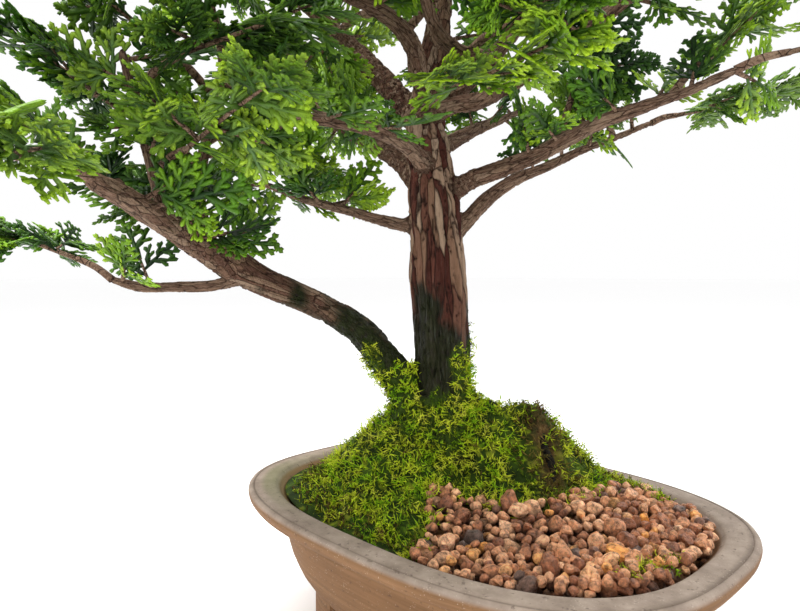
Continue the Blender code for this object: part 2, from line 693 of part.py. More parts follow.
def grow_sprays():
    """Find room for every twig and its spray: a list of (name, twig, foot, heading, normal, fans)."""
    rng = random.Random(SEED)
    paths = {name: limb_path(name) for name in LIMBS}
    taken = set()
    for path in paths.values():
        taken |= swollen(cubes(path_points(path)))
    sprays = []
    for name, (count, first, rise) in SPRAYS.items():
        for k in range(count):
            last = k == count - 1
            share = 1.0 if last else first + (1 - first) * k / (count - 1)
            place, radius, heading = point_on(paths[name], share)
            side = heading.cross(UP).normalized() * (1 if k % 2 else -1)
            for attempt in range(TRIES):
                aim = twig_aim(heading, side, rise, last, attempt, rng)
                reach = TWIG_LENGTH * rng.uniform(*TWIG_RANGE) * (LAST_TWIG if last else 1)
                twig, foot, out, normal, fans = try_spray(place, radius, aim, reach, rng)
                points = spray_points(foot, out, fans)
                clear = cubes(path_points(twig, radius + 2 * ROOM) + points)
                if not clear & taken and all(p.z > clear_height(p) for p in points):
                    taken |= swollen(clear)
                    sprays.append((f"spray_{name}_{k}", twig, foot, out, normal, fans))
                    break
    return sprays


def tube(name, path, roundness):
    """A limb as a bevelled curve, made into a closed mesh, with no material."""
    curve = bpy.data.curves.new(name, "CURVE")
    curve.dimensions = "3D"
    curve.bevel_depth = MM
    curve.bevel_resolution = roundness
    curve.use_fill_caps = True
    spline = curve.splines.new("POLY")
    spline.points.add(len(path) - 1)
    for point, (place, radius) in zip(spline.points, path):
        point.co = (*(place * MM), 1)
        point.radius = radius
    source = bpy.data.objects.new(name, curve)
    bpy.context.scene.collection.objects.link(source)
    graph = bpy.context.evaluated_depsgraph_get()
    mesh = bpy.data.meshes.new_from_object(source.evaluated_get(graph))
    bpy.data.objects.remove(source)
    bm = bmesh.new()
    bm.from_mesh(mesh)
    bpy.data.meshes.remove(mesh)
    bmesh.ops.remove_doubles(bm, verts=bm.verts, dist=MM / 100)
    bmesh.ops.scale(bm, vec=(1 / MM, 1 / MM, 1 / MM), verts=bm.verts)
    return add(name, bm, folder="cutters")


def make_wood(mat, sprays):
    """Both trunks, every limb, every twig and the buried base, grown as one piece."""
    rings = [root_ring(*section) for section in ROOT_BASE] + [root_ring(*ROOT_CROWN)]
    wood = add("wood", loft(rings), mat)
    pieces = [tube(name, limb_path(name), LIMB_ROUNDNESS.get(name, 1)) for name in LIMBS]
    pieces += [tube(f"twig_{name}", twig, TWIG_ROUNDNESS) for name, twig, *_ in sprays]
    unite(wood, pieces)
    return wood


def make_spray(mat, spray):
    """One spray: a slim stem that butts its twig, with three cut fans."""
    name, _, foot, heading, _, fans = spray
    start = foot + heading * GAP
    end = foot + heading * SPRAY_STEM
    stem = tube(name, [(start, SPRAY_RADIUS), (end, SPRAY_RADIUS * SPRAY_THINNING)], 0)
    blades = []
    for k, fan in enumerate(fans):
        bm = bmesh.new()
        face = bm.faces.new([bm.verts.new((along, across, 0)) for along, across in fan_outline()])
        bmesh.ops.triangulate(bm, faces=[face])
        flat = [(vert.co.x, vert.co.y) for vert in bm.verts]
        for vert, place in zip(bm.verts, fan_places(fan, flat)):
            vert.co = place
        blade = add(f"{name}_fan_{k}", bm, folder="cutters")
        shell = blade.modifiers.new("thickness", "SOLIDIFY")
        shell.thickness = FAN_THICK * MM
        shell.offset = 0
        apply_modifiers(blade)
        blades.append(blade)
    unite(stem, blades)
    stem.data.materials.clear()
    stem.data.materials.append(mat)
    bpy.data.collections["cutters"].objects.unlink(stem)
    bpy.data.collections["bonsai"].objects.link(stem)
    return stem


def centre():
    """Stand the whole bonsai over the origin by moving its empty."""
    parts = bpy.data.collections["bonsai"].objects
    corners = [obj.matrix_world @ Vector(corner) for obj in parts for corner in obj.bound_box]
    low = [min(c[i] for c in corners) for i in range(2)]
    high = [max(c[i] for c in corners) for i in range(2)]
    stand = bpy.data.objects.new("bonsai_stand", None)
    bpy.context.scene.collection.objects.link(stand)
    for obj in parts:
        obj.parent = stand
    stand.location = (-(low[0] + high[0]) / 2, -(low[1] + high[1]) / 2, 0)


def main():
    for obj in list(bpy.data.objects):
        bpy.data.objects.remove(obj)
    finishes = {name: material(name, colour, roughness) for name, (colour, roughness) in FINISHES.items()}
    sprays = grow_sprays()
    make_pot(finishes["pot_clay"])
    make_screens(finishes["screen_plastic"])
    make_soil(finishes["soil"])
    make_moss(finishes["moss"])
    make_gravel(finishes["gravel"])
    make_wood(finishes["bark"], sprays)
    for spray in sprays:
        make_spray(finishes["foliage"], spray)
    centre()
    for obj in bpy.data.collections["bonsai"].objects:
        obj.data.calc_loop_triangles()
        print(obj.name, len(obj.data.loop_triangles))


main()
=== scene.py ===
"""The looks of a hinoki cypress bonsai in a clay pot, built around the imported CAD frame.

Places and sizes are in millimetres in the pot's own frame: the pot's middle on X and Y, the table at z = 0.
The limbs and the sprays repeat the rule of the part's source, so each fine piece lies where its solid is.
"""
import math
import random

import bmesh
import bpy
import numpy as np
from mathutils import Matrix, Vector, noise


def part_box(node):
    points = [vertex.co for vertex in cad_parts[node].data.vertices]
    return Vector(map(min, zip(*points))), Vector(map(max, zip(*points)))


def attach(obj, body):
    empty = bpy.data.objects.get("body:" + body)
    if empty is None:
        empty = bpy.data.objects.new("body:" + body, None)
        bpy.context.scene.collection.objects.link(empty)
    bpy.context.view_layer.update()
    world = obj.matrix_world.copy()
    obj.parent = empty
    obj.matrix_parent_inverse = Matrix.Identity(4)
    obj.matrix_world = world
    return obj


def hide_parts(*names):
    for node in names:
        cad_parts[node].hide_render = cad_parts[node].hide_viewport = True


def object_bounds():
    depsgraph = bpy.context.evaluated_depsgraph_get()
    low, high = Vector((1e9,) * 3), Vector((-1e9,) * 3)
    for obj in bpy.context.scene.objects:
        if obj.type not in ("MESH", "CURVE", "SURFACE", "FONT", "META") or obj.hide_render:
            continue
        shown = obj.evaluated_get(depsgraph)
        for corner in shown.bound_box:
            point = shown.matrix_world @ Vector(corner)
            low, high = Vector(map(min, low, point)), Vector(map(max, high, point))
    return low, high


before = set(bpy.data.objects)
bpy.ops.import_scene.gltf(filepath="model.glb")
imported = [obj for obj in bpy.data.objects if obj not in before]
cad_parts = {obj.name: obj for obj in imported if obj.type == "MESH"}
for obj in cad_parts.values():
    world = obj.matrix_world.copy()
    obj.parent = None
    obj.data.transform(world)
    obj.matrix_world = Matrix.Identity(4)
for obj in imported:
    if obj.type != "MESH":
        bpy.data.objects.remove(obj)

CAD_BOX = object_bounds()
MM = 0.001
UP = Vector((0, 0, 1))
POT_LOW, POT_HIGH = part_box("pot")
POT_CENTRE = Vector(((POT_LOW.x + POT_HIGH.x) / 2, (POT_LOW.y + POT_HIGH.y) / 2, 0))

# The pot, from its CAD box
POT_LENGTH = round((POT_HIGH.x - POT_LOW.x) / MM, 1)
POT_WIDTH = round((POT_HIGH.y - POT_LOW.y) / MM, 1)
POT_HEIGHT = round(POT_HIGH.z / MM, 1)
POT_ROUNDNESS = 2.74
POT_STEPS = 200
LIP_WIDTH = 14.6
FLOOR_DEPTH = 55
UNDERSIDE_DEPTH = 62
# Pairs of (inset from the outer rim, height above the rim), up the outside, over the lip and down inside
POT_OUTSIDE = ((60, -62), (42, -61.8), (38, -61), (34, -58.6), (30.5, -54.5), (27, -49), (24.6, -43.5),
               (22.5, -38), (20.8, -31.5), (19.5, -25), (18.8, -19), (18.4, -14.5), (17.6, -12),
               (15.6, -10.9), (10, -9.8), (4.2, -8.9), (2.0, -8.0), (0.7, -6), (0.15, -4), (0, -3),
               (0.25, -1.6), (0.8, -0.7), (1.8, -0.12), (2.8, 0.0))
POT_LIP = ((3.3, -0.35), (3.8, 0.0), (6, 0.1), (9, 0.05), (12, 0.1), (13.6, -0.1))
POT_INSIDE = ((14.4, -0.7), (15.2, -1.6), (17, -3.4), (19.6, -6.5), (22, -10), (25, -18), (29, -38),
              (33, -48), (41, -FLOOR_DEPTH), (60, -FLOOR_DEPTH))
FOOT_OUTER_INSET = 35
FOOT_WALL = 12
FOOT_MIDDLE = 44
FOOT_SPREAD = 17
FOOT_STEPS = 24
DRAIN_RADIUS = 9
DRAIN_PLACE = 55

# The ground in the pot
WALL_LEVEL = -4.5
RIDGE_START = Vector((-42, -12))
RIDGE_END = Vector((8, 34))
MOUND_HEIGHT = 27
HEAP_HEIGHT = 22
LONG_REACH = 66
SHORT_REACH = 36
HEAP_REACH = 80
OPEN_SIDE = Vector((0.75, -0.66))
OPEN_BLEND = 12
WALL_BLEND = 0.3
MOSS_EDGE = ((28, -120), (25, -65), (7, -44), (-4, -31), (0, -25), (15, -23), (28, -16), (40, -5),
             (48, 10), (53, 38), (58, 74), (62, 120), (-180, 120), (-180, -120))

# The tree, in its own frame of (across, back, up), which is turned from the pot's
TREE_TURN = 46
# Rows of the half-buried base: (up, half across, half back, middle across)
ROOT_BASE = ((62, 18, 15, -17), (85, 30, 24, -18), (105, 29, 23, -19), (118, 26, 21, -20),
             (131, 23, 17, -21))
ROOT_BACK = 20
# Each limb: (across, back, up, radius) along its middle line
LIMBS = {
    "trunk": ((-17, 20, 116, 19), (-16, 20, 136, 16.5), (-17, 20, 159, 15.5), (-19, 20, 198, 15),
              (-22, 20, 238, 14.5), (-24, 20, 260, 12.5), (-26, 18, 288, 10), (-22, 10, 317, 8),
              (-19, 6, 343, 6.2), (-21, 8, 366, 4.4), (-24, 12, 386, 2.8)),
    "left_trunk": ((-20, 20, 118, 11), (-32, 20, 131, 10.5), (-45, 20, 145, 9.2), (-57, 19, 161, 7.8),
                   (-74, 17, 175, 7), (-93, 13, 185, 6.6), (-110, 8, 193, 7), (-125, 2, 201, 7.4),
                   (-138, -15, 211, 6.8), (-146, -45, 221, 5.8), (-150, -78, 228, 4.6),
                   (-153, -108, 233, 3)),
    "low_left": ((-121, 3, 198, 4.2), (-139, 0, 193, 3.4), (-157, -2, 192, 3.2), (-175, -6, 192, 3.2),
                 (-190, -9, 196, 2.2)),
    "left_rise": ((-137, -12, 212, 4.6), (-142, -16, 232, 3.8), (-139, -20, 256, 3.3),
                  (-131, -27, 278, 2.8), (-124, -36, 298, 2.2)),
    "left_shoot": ((-147, -48, 222, 4.2), (-150, -56, 244, 3.4), (-155, -60, 268, 2.9),
                   (-158, -68, 292, 2.2)),
    "mid_left": ((-27, 20, 224, 5), (-49, 25, 229, 3.8), (-66, 30, 234, 3.4), (-83, 36, 239, 3.1),
                 (-100, 44, 244, 2.6), (-114, 52, 250, 2)),
    "low_right": ((-13, 22, 219, 6), (0, 24, 232, 5), (12, 26, 244, 4.5), (26, 28, 253, 3.8),
                  (45, 30, 261, 3.2), (66, 34, 271, 2.8), (86, 38, 279, 2.4), (108, 42, 288, 2)),
    "right": ((-18, 20, 240, 7), (-3, 18, 250, 5.8), (14, 12, 256, 5.2), (32, 4, 262, 4.9),
              (48, -5, 270, 4.6), (62, -15, 276, 4.1), (78, -28, 280, 3.6), (94, -42, 284, 2.8),
              (108, -55, 289, 2.2)),
    "loop": ((-27, 14, 285, 6), (-11, 5, 289, 5.4), (1, -4, 289, 5.1), (8, -15, 292, 4.9),
             (6, -28, 297, 4.7), (-3, -40, 299, 4.4), (-14, -52, 298, 4.1), (-24, -66, 301, 3.6),
             (-30, -80, 309, 2.8), (-33, -94, 319, 2)),
    "upper_right": ((3, -6, 289, 4.8), (17, -10, 297, 5.1), (33, -14, 307, 4.9), (49, -18, 317, 4.5),
                    (62, -22, 327, 4), (76, -28, 337, 3.2), (88, -34, 346, 2.2)),
    "back_right": ((-21, 18, 289, 6.5), (-3, 26, 307, 5.6), (14, 34, 325, 5), (27, 44, 341, 4.3),
                   (38, 54, 357, 3.4), (50, 64, 370, 2.4)),
    "left_upper": ((-23, 20, 273, 9), (-39, 24, 295, 7.6), (-56, 28, 315, 6.6), (-75, 34, 335, 5.6),
                   (-94, 40, 354, 4.6), (-112, 48, 368, 3.4), (-124, 56, 378, 2.4)),
    "left_mid": ((-26, 20, 246, 8), (-40, 26, 262, 6.4), (-55, 32, 273, 5.2), (-73, 38, 284, 4.6),
                 (-90, 44, 298, 4), (-106, 50, 312, 3.2), (-120, 56, 325, 2.2)),
    "front_left": ((-26, 13, 258, 6), (-36, -8, 264, 4.8), (-49, -29, 267, 4), (-64, -48, 267, 3.4),
                   (-84, -66, 266, 2.8), (-104, -80, 268, 2.2)),
    "front": ((-24, 14, 296, 6.5), (-31, -6, 302, 5.6), (-34, -28, 308, 4.9), (-44, -50, 313, 4.2),
              (-62, -70, 315, 3.5), (-84, -88, 316, 2.8), (-104, -102, 319, 2)),
    "back_left": ((-24, 24, 258, 7), (-34, 42, 272, 5.6), (-46, 62, 285, 4.8), (-58, 84, 296, 3.8),
                  (-68, 106, 306, 2.4)),
    "back": ((-18, 24, 270, 6), (-4, 42, 280, 5), (10, 62, 290, 4.2), (26, 84, 300, 3.2),
             (42, 104, 310, 2.2)),
}
LIMB_STEPS = {"trunk": 2}
# How many sprays each limb carries, the part of its length where the first one leaves it, and their rise
SPRAYS = {
    "trunk": (5, 0.72, 0.3), "left_trunk": (5, 0.5, 1.0), "low_left": (3, 0.6, 1.0),
    "left_rise": (5, 0.25, 0.1), "left_shoot": (4, 0.3, 0.1), "mid_left": (3, 0.4, 0.5),
    "front_left": (5, 0.35, 0.3), "low_right": (4, 0.45, 1.0), "right": (4, 0.45, 1.0),
    "loop": (3, 0.6, 0.3), "upper_right": (3, 0.45, 0.3), "back_right": (3, 0.45, 0.3),
    "left_upper": (4, 0.4, 0.3), "left_mid": (3, 0.45, 0.3), "front": (5, 0.38, 0.3),
    "back_left": (3, 0.45, 0.3), "back": (4, 0.4, 0.9),
}
TWIG_LENGTH = 34
TWIG_RANGE = (0.75, 1.35)
LAST_TWIG = 0.5
TWIG_START = 2.2
TWIG_END = 1.5
TWIG_AHEAD = 0.5
TWIG_ASIDE = 0.9
TWIG_DROOP = 0.25
LAST_AHEAD = 1.6
LAST_LOOSE = 0.6
LOOSE_FIRST = 0.25
LOOSE_MORE = 1.1
SPRAY_STEM = 42
SPRAY_RADIUS = 1.3
SPRAY_RISE = (-0.25, 0.15)
SPRAY_TILT = 0.55
FAN_LENGTH = 50
FAN_BEND = 5
FAN_SWING = 7
FAN_ROLL = 16
FAN_SIZES = (0.92, 1.08)
FAN_PLAN = ((0.97, 0, 1.0), (0.6, 62, 0.82), (0.3, -64, 0.82))
FAN_SAMPLES = 16
FAN_WIDTH = 0.4
CLEAR_LEFT = 204
CLEAR_RIGHT = 258
CLEAR_FROM = -95
CLEAR_TO = -45
ROOM = 5
SKIN_STEP = 2.5
TRIES = 140
SEED = 28

# The pot's feet, drain holes and shading
FOOT_CORNER = 1.6
FOOT_BEVEL = 0.4
FOOT_SINK = 3
DRAIN_WAYS = 40
SHARP_ANGLE = 40
# A dark line in the groove near the lip's outer edge, painted shade: its inset, width and strength
CREASE_INSET = 2.6
CREASE_SIZE = 0.5
CREASE_DARK = 0.7
STAIN = (-98, -62)
STAIN_SIZE = 46
STAIN_SHARE = 0.6
POT_WOBBLE = 0.18
# Where a share rises from 0 to 1: (start, span)
LIP_RISE = (-3.4, 2.2)
LIP_EDGE = (-2, 3)
STAIN_RISE = (-9, 9)
BOWL_EDGE = (1, 6)
MOSS_COVER = (-3, 4)
LITTER_RISE = (36, -14)
RIGHT_SIDE = (-20, 12)

# Noise patterns: (size of the features in millimetres, octaves, seed)
POT_NOISE = (42, 3, 2.0)
LUMP_NOISE = (17, 2, 3.1)
FINE_LUMP_NOISE = (6.5, 3, 8.3)
CUSHION_NOISE = (4, 2, 4.9)
FRINGE_NOISE = (8, 2, 7.7)
TUFT_NOISE = (9, 2, 5.5)
BROAD_NOISE = (30, 2, 1.2)
TRUNK_TUFT_NOISE = (8, 2, 5.5)
PLATE_NOISE = (7.5, 3, 1.3)
CRACK_NOISE = (4.6, 3, 9.4)
FIBRE_NOISE = (1.7, 2, 4.4)
BARK_LUMP_NOISE = (26, 2, 6.1)
WET_NOISE = (14, 3, 2.2)

# The bark
BARK_CELL = 1.3
BARK_EASE = 0.5
BARK_EASE_STEPS = 5
TRUNK_WAYS = 20
LIMB_WAYS = 12
ROOT_WAYS = 40
# The base's top row, hidden in the trunk: (up, half across, half back, middle across)
ROOT_TOP = (137, 15, 14, -17)
ROOT_FLUTES = 5
FLUTE_DEPTH = 0.09
RING_STEP = 2.0
# A tube's rounded tip: (place ahead, radius), both as parts of the tube's radius
TIP_DOME = ((0.6, 0.75), (0.95, 0.3))
KNOB = (-130, -4, 205)
KNOB_SIZE = 13
KNOB_HEIGHT = 2.0
PLATE_SCALE = 0.19
PLATE_EDGE = (-0.02, 0.16)
CRACK_WIDTH = 0.05
FULL_RADIUS = 14
LIMB_SHIFT = 31.0
NEAREST_BATCH = 4000
PLATE_STRETCH = 0.14
PLATE_RISE = 1.3
CRACK_DEPTH = 1.25
FIBRE_DEPTH = 0.5
BARK_SHRINK = 0.85
LIMB_SHRINK = 0.6
SECOND_SWELL = 0.7
BURIED_BELOW = 100
WET_HEIGHT = 192
FILM_HEIGHT = 134
YOUNG_RADIUS = 9.5
TWIG_WAYS = 8
RIB_WAYS = 4

# The moss, and the dead root in its hollow
MOSS_ROWS = 56
MOSS_STEPS = 150
MOSS_INSET = 19.2
MOSS_SUNK = 4.2
MOSS_FLOOR_INSET = 23.5
MOSS_FLOOR_DEPTH = 11
LUMP_HEIGHT = 2.8
FINE_LUMP_HEIGHT = 2.2
SHOULDER = (19, 33)
SHOULDER_SIZE = 13
SHOULDER_HEIGHT = 4.5
HOLLOW = (29, 26)
HOLLOW_AXES = ((0.80, 0.60), (-0.60, 0.80))
HOLLOW_SIZE = (11, 4.8)
HOLLOW_BARE = 0.4
HOLLOW_DEPTH = 4.5
ROOT_POINTS = 7
ROOT_TUBE_WAYS = 9
ROOT_REACH = 1.5
ROOT_SWERVE = 1.6
STRAND_COUNT = 7100
STRAND_GAP = 20.3
STRAND_WIDTHS = (0.45, 0.8)
STRAND_MIDDLE = 0.55
STRAND_TIP = 0.45
STRAND_BEND = 0.75
STRAND_DROOP = 0.3
STRAND_LEAVES = 2
LEAF_RANGE = (0.35, 0.85)
LEAF_AHEAD = 0.45
LEAF_ASIDE = 0.75
LEAF_REACH = (0.38, 0.68)
LEAF_WIDTH = 0.3
# Pairs of (brightness, more where bright) at a strand's foot, middle and tip, and at a leaf's foot and tip;
# the dark strand feet are painted shade deep in the mat
STRAND_SHADES = ((0.0, 0.1), (0.2, 0.65), (0.3, 0.85))
LEAF_SHADES = ((0.2, 0.65), (0.35, 0.85))
# Strand lengths: (middle, more in a lush tuft, loose range, bounds)
MOUND_LENGTHS = (4.8, 3.4, (-1.5, 2.0), (2.2, 9.0))
TRUNK_LENGTHS = (4.0, 2.6, (-1.2, 1.8), (1.6, 7))
SLOPE_STEP = 1.5
SINK = 0.9
WALL_NEAR = 25
WALL_SHORT = 0.6
RIM_LITTER = 0.4
CLIMB_SHARE = 0.43
CLIMB_FROM = 0.55
CLIMB_ABOVE = 88
# Moss that has crept between the grains along the rim
LOOSE_TUFTS = ((106, -27), (110, -18), (113, -8), (36, 75), (47, 73), (57, 71), (66, 68), (76, 63))
TUFT_STRANDS = 70
TUFT_SPREAD = 3.4
TUFT_LIFT = 4.6

# The gravel
GRAIN_COUNT = 700
GRAIN_TRIES = 50000
GRAIN_FIRST_X = -25
GRAIN_GAP = 16.8
GRAIN_SINK = 4.4
GRAIN_TOUCH = 0.86
GRAIN_SWELL = 1.16
GRAIN_STACK = 3.2
END_HEAP = 4.5
END_START = 55
GRAIN_FORMS = 24
GRAIN_CUTS = 12
GRAIN_ROUGH = 0.10
GRAIN_SPREAD = (0.9, 1.1)
GRAIN_RADII = (2.3, 3.1, 4.1, 5.2)
GRAIN_SHARES = (0.28, 0.32, 0.28, 0.12)
GRAIN_FINE = 3.4

# The fine foliage
FINE_FAN_SHARE = 0.64
LAST_FAN_SHARE = 0.47
FINE_TILT = 62
FAN_VARIANTS = 6
FAN_SIDES = 6
FAN_CUPS = (0.10, 0.32)
MAIN_BITS = 4
MAIN_LENGTH = 0.84
MAIN_WIDTH = 0.048
SIDE_BITS = 3
SIDE_WIDTH = 0.057
LEAFLET_WIDTH = 0.054
SHOOT_RADII = (1.3, 1.1, 0.7)
# Layers of fine fans on a fan: (lift off its face, places along it)
FAN_LAYERS = ((0.0, (0.08, 0.22, 0.36, 0.48, 0.56)), (4.5, (0.05, 0.26, 0.44)), (-3.5, (0.14, 0.32, 0.5)))
# A fan's rib: (place along the fan, radius)
FAN_RIB = ((0.0, 1.0), (0.3, 0.8), (0.55, 0.5))
STEM_FANS = 6
BOX_GAP = 0.2
# How many short shoots each limb carries, and the part of its length where they begin
SHOOTS = {
    "trunk": (6, 0.76), "left_trunk": (9, 0.56), "low_left": (2, 0.6), "left_rise": (9, 0.3),
    "left_shoot": (9, 0.3), "mid_left": (6, 0.45), "front_left": (9, 0.35), "low_right": (6, 0.4),
    "right": (8, 0.3), "loop": (2, 0.8), "upper_right": (7, 0.3), "back_right": (5, 0.3),
    "left_upper": (8, 0.45), "left_mid": (8, 0.45), "front": (8, 0.5), "back_left": (3, 0.4),
    "back": (5, 0.35),
}
# Each fan of a shoot: (swing in degrees, place along its stem, length)
SHOOT_FANS = ((0, 0.95, 29), (52, 0.7, 24), (-55, 0.6, 24), (25, 0.4, 20))
SHOOT_STEM = (9, 20)
SHOOT_CLEAR = -2
SHOOT_REACH = 24
TREE_MIDDLE = -22

# The camera, in millimetres and pixels, and the light
IMAGE_WIDTH = 800
FOCAL_PIXELS = 658
SENSOR_WIDTH = 36
CAMERA_LEFT = 40.5
CAMERA_BACK = 351
CAMERA_ABOVE_RIM = 118.5
CAMERA_PITCH = 2.67
CAMERA_NEAR = 0.01
FLOOR_SIZE = 30
FLOOR_DROP = 0.0005
FLOOR_WHITE = (0.985, 0.985, 0.985)
WORLD_STRENGTH = 1.0
LIGHT_AIM = (0, 0, 0.2)
# Each lamp: (name, place, size, power, colour)
LAMPS = (("key", (-0.35, -0.45, 1.35), 0.8, 30, (1.0, 0.985, 0.96)),
         ("back", (0.2, 1.0, 1.0), 0.9, 7, (0.96, 0.98, 1.0)))


def place(point):
    """A point in the pot's millimetres as a point in the frame's metres."""
    return Vector(point) * MM + POT_CENTRE


def metres(points):
    """An array of points in the pot's millimetres as the frame's metres."""
    return points * MM + np.array(POT_CENTRE)


def add_object(name, data):
    """A new object in the scene."""
    obj = bpy.data.objects.new(name, data)
    bpy.context.scene.collection.objects.link(obj)
    return obj


def keep_values(mesh, values):
    """Keep numbers or vectors on a mesh's points, where its finish reads them."""
    for key, numbers in values.items():
        kind, field = ("FLOAT_VECTOR", "vector") if numbers.ndim == 2 else ("FLOAT", "value")
        mesh.attributes.new(key, kind, "POINT").data.foreach_set(field, numbers.ravel())


def build(name, points, quads=(), tris=(), mat=None, values=None, smooth=True):
    """A mesh object from arrays of points in the pot's millimetres and of faces."""
    points = metres(np.asarray(points, float).reshape(-1, 3))
    quads = np.asarray(quads, int).reshape(-1, 4)
    tris = np.asarray(tris, int).reshape(-1, 3)
    sizes = np.repeat([4, 3], [len(quads), len(tris)])
    loops = np.concatenate([quads.ravel(), tris.ravel()])
    mesh = bpy.data.meshes.new(name)
    mesh.vertices.add(len(points))
    mesh.vertices.foreach_set("co", points.ravel())
    mesh.loops.add(len(loops))
    mesh.loops.foreach_set("vertex_index", loops)
    mesh.polygons.add(len(sizes))
    mesh.polygons.foreach_set("loop_start", np.cumsum(sizes) - sizes)
    mesh.polygons.foreach_set("loop_total", sizes)
    mesh.polygons.foreach_set("use_smooth", np.full(len(sizes), smooth))
    mesh.update(calc_edges=True)
    mesh.validate()
    if mat:
        mesh.materials.append(mat)
    keep_values(mesh, values or {})
    return add_object(name, mesh)


def dress(obj, slot, *nodes):
    """Ride on the root and stand for the CAD nodes; the finish slot is not used."""
    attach(obj, "root")
    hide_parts(*nodes)


class Heap:
    """Points and faces gathered from many small forms, to become one mesh."""

    def __init__(self):
        self.points = []
        self.quads = []
        self.tris = []
        self.values = {}
        self.count = 0

    def add(self, points, quads=(), tris=(), **values):
        """Add one form; each value is one number for each of its points, or one for all."""
        points = np.asarray(points, float).reshape(-1, 3)
        self.points.append(points)
        for faces, kept in ((quads, self.quads), (tris, self.tris)):
            if len(faces):
                kept.append(np.asarray(faces, int) + self.count)
        for key, numbers in values.items():
            numbers = np.broadcast_to(np.asarray(numbers, float), (len(points),))
            self.values.setdefault(key, []).append(numbers)
        self.count += len(points)

    def build(self, name, mat, smooth=True):
        """The gathered forms as one object."""
        quads, tris = [np.concatenate(kept) if kept else () for kept in (self.quads, self.tris)]
        values = {key: np.concatenate(numbers) for key, numbers in self.values.items()}
        return build(name, np.concatenate(self.points), quads, tris, mat, values, smooth)


class Finish:
    """A node material made step by step."""

    def __init__(self, name, roughness, specular):
        self.mat = bpy.data.materials.new(name)
        self.mat.use_nodes = True
        self.nodes = self.mat.node_tree.nodes
        self.shader = self.nodes["Principled BSDF"]
        self.feed(self.shader, {"Roughness": roughness, "Specular IOR Level": specular})
        self.where = self.node("ShaderNodeTexCoord").outputs["Object"]

    def feed(self, node, inputs):
        """Link a node's inputs to other sockets, or set their numbers and colours."""
        for key, value in inputs.items():
            named = [s for s in node.inputs if s.name == key and s.enabled]
            socket = named[0] if named else node.inputs[key]
            if isinstance(value, bpy.types.NodeSocket):
                self.mat.node_tree.links.new(value, socket)
            elif isinstance(value, tuple) and socket.type == "RGBA":
                socket.default_value = (*value, 1)
            else:
                socket.default_value = value

    def node(self, kind, inputs=None, **settings):
        """A new node with its properties set and its inputs fed."""
        made = self.nodes.new(kind)
        for key, value in settings.items():
            setattr(made, key, value)
        self.feed(made, inputs or {})
        return made

    def attribute(self, name, output="Fac"):
        """A value kept on the mesh's points."""
        return self.node("ShaderNodeAttribute", attribute_name=name).outputs[output]

    def noise(self, scale, detail=4, rough=0.55, where=None, stretch=None, bend=0.0):
        """A noise pattern; scale counts features in a metre, unless a place is given."""
        where = where or self.where
        if stretch:
            where = self.node("ShaderNodeMapping", {"Scale": stretch, "Vector": where}).outputs["Vector"]
        return self.node("ShaderNodeTexNoise", {"Scale": scale, "Detail": detail, "Roughness": rough,
                                                "Distortion": bend, "Vector": where}).outputs["Fac"]

    def bent(self, where, scale, amount):
        """The same places, pushed about by noise of that amount."""
        made = self.node("ShaderNodeTexNoise", {"Scale": scale, "Vector": where})
        return self.node("ShaderNodeVectorMath", {0: made.outputs["Color"], 1: amount, 2: where},
                         operation="MULTIPLY_ADD").outputs["Vector"]

    def cells(self, scale, feature="F1", where=None, output="Distance"):
        """A cell pattern."""
        made = self.node("ShaderNodeTexVoronoi", {"Scale": scale, "Vector": where or self.where},
                         feature=feature)
        return made.outputs[output]

    def ramp(self, value, stops):
        """Colours for a value: pairs of (place, colour or grey)."""
        made = self.node("ShaderNodeValToRGB", {"Fac": value})
        elements = made.color_ramp.elements
        while len(elements) < len(stops):
            elements.new(0.5)
        for element, (at, colour) in zip(elements, stops):
            element.position = at
            element.color = (*colour, 1) if isinstance(colour, tuple) else (colour, colour, colour, 1)
        return made.outputs["Color"]

    def math(self, operation, first, second):
        """Arithmetic on two values, either of which may be a number."""
        return self.node("ShaderNodeMath", {0: first, 1: second}, operation=operation).outputs["Value"]

    def mix(self, share, first, second, blend="MIX"):
        """A mix of two colours by a share."""
        made = self.node("ShaderNodeMix", {"Factor": share, "A": first, "B": second}, data_type="RGBA",
                         blend_type=blend, clamp_factor=True)
        return [s for s in made.outputs if s.enabled][0]

    def tint(self, base, tone):
        """A colour multiplied by a tone."""
        return self.mix(1.0, base, tone, "MULTIPLY")

    def colour(self, value):
        """Set the shader's colour."""
        self.feed(self.shader, {"Base Color": value})

    def roughness(self, value):
        """Set the shader's roughness."""
        self.feed(self.shader, {"Roughness": value})

    def bump(self, value, depth, strength=1.0):
        """Fine relief of a depth in metres."""
        made = self.node("ShaderNodeBump", {"Strength": strength, "Distance": depth, "Height": value})
        self.feed(self.shader, {"Normal": made.outputs["Normal"]})

    def glow_through(self, colour, share):
        """Let some light through a thin leaf."""
        thin = self.node("ShaderNodeBsdfTranslucent", {"Color": colour})
        blend = self.node("ShaderNodeMixShader", {"Fac": share, 1: self.shader.outputs["BSDF"],
                                                  2: thin.outputs["BSDF"]})
        self.feed(self.nodes["Material Output"], {"Surface": blend.outputs["Shader"]})


def smooth_step(t):
    """Ease from 0 to 1."""
    t = min(max(t, 0), 1)
    return t * t * (3 - 2 * t)


def rise(value, start, span):
    """0 up to a start, 1 from a span past it, and even between."""
    return np.clip((value - start) / span, 0, 1)


def wall_share(point, inset=LIP_WIDTH):
    """How far out a plan point is, 0 at the pot's middle and 1 at the inner wall."""
    x = abs(point.x) / (POT_LENGTH / 2 - inset)
    y = abs(point.y) / (POT_WIDTH / 2 - inset)
    return (x ** POT_ROUNDNESS + y ** POT_ROUNDNESS) ** (1 / POT_ROUNDNESS)


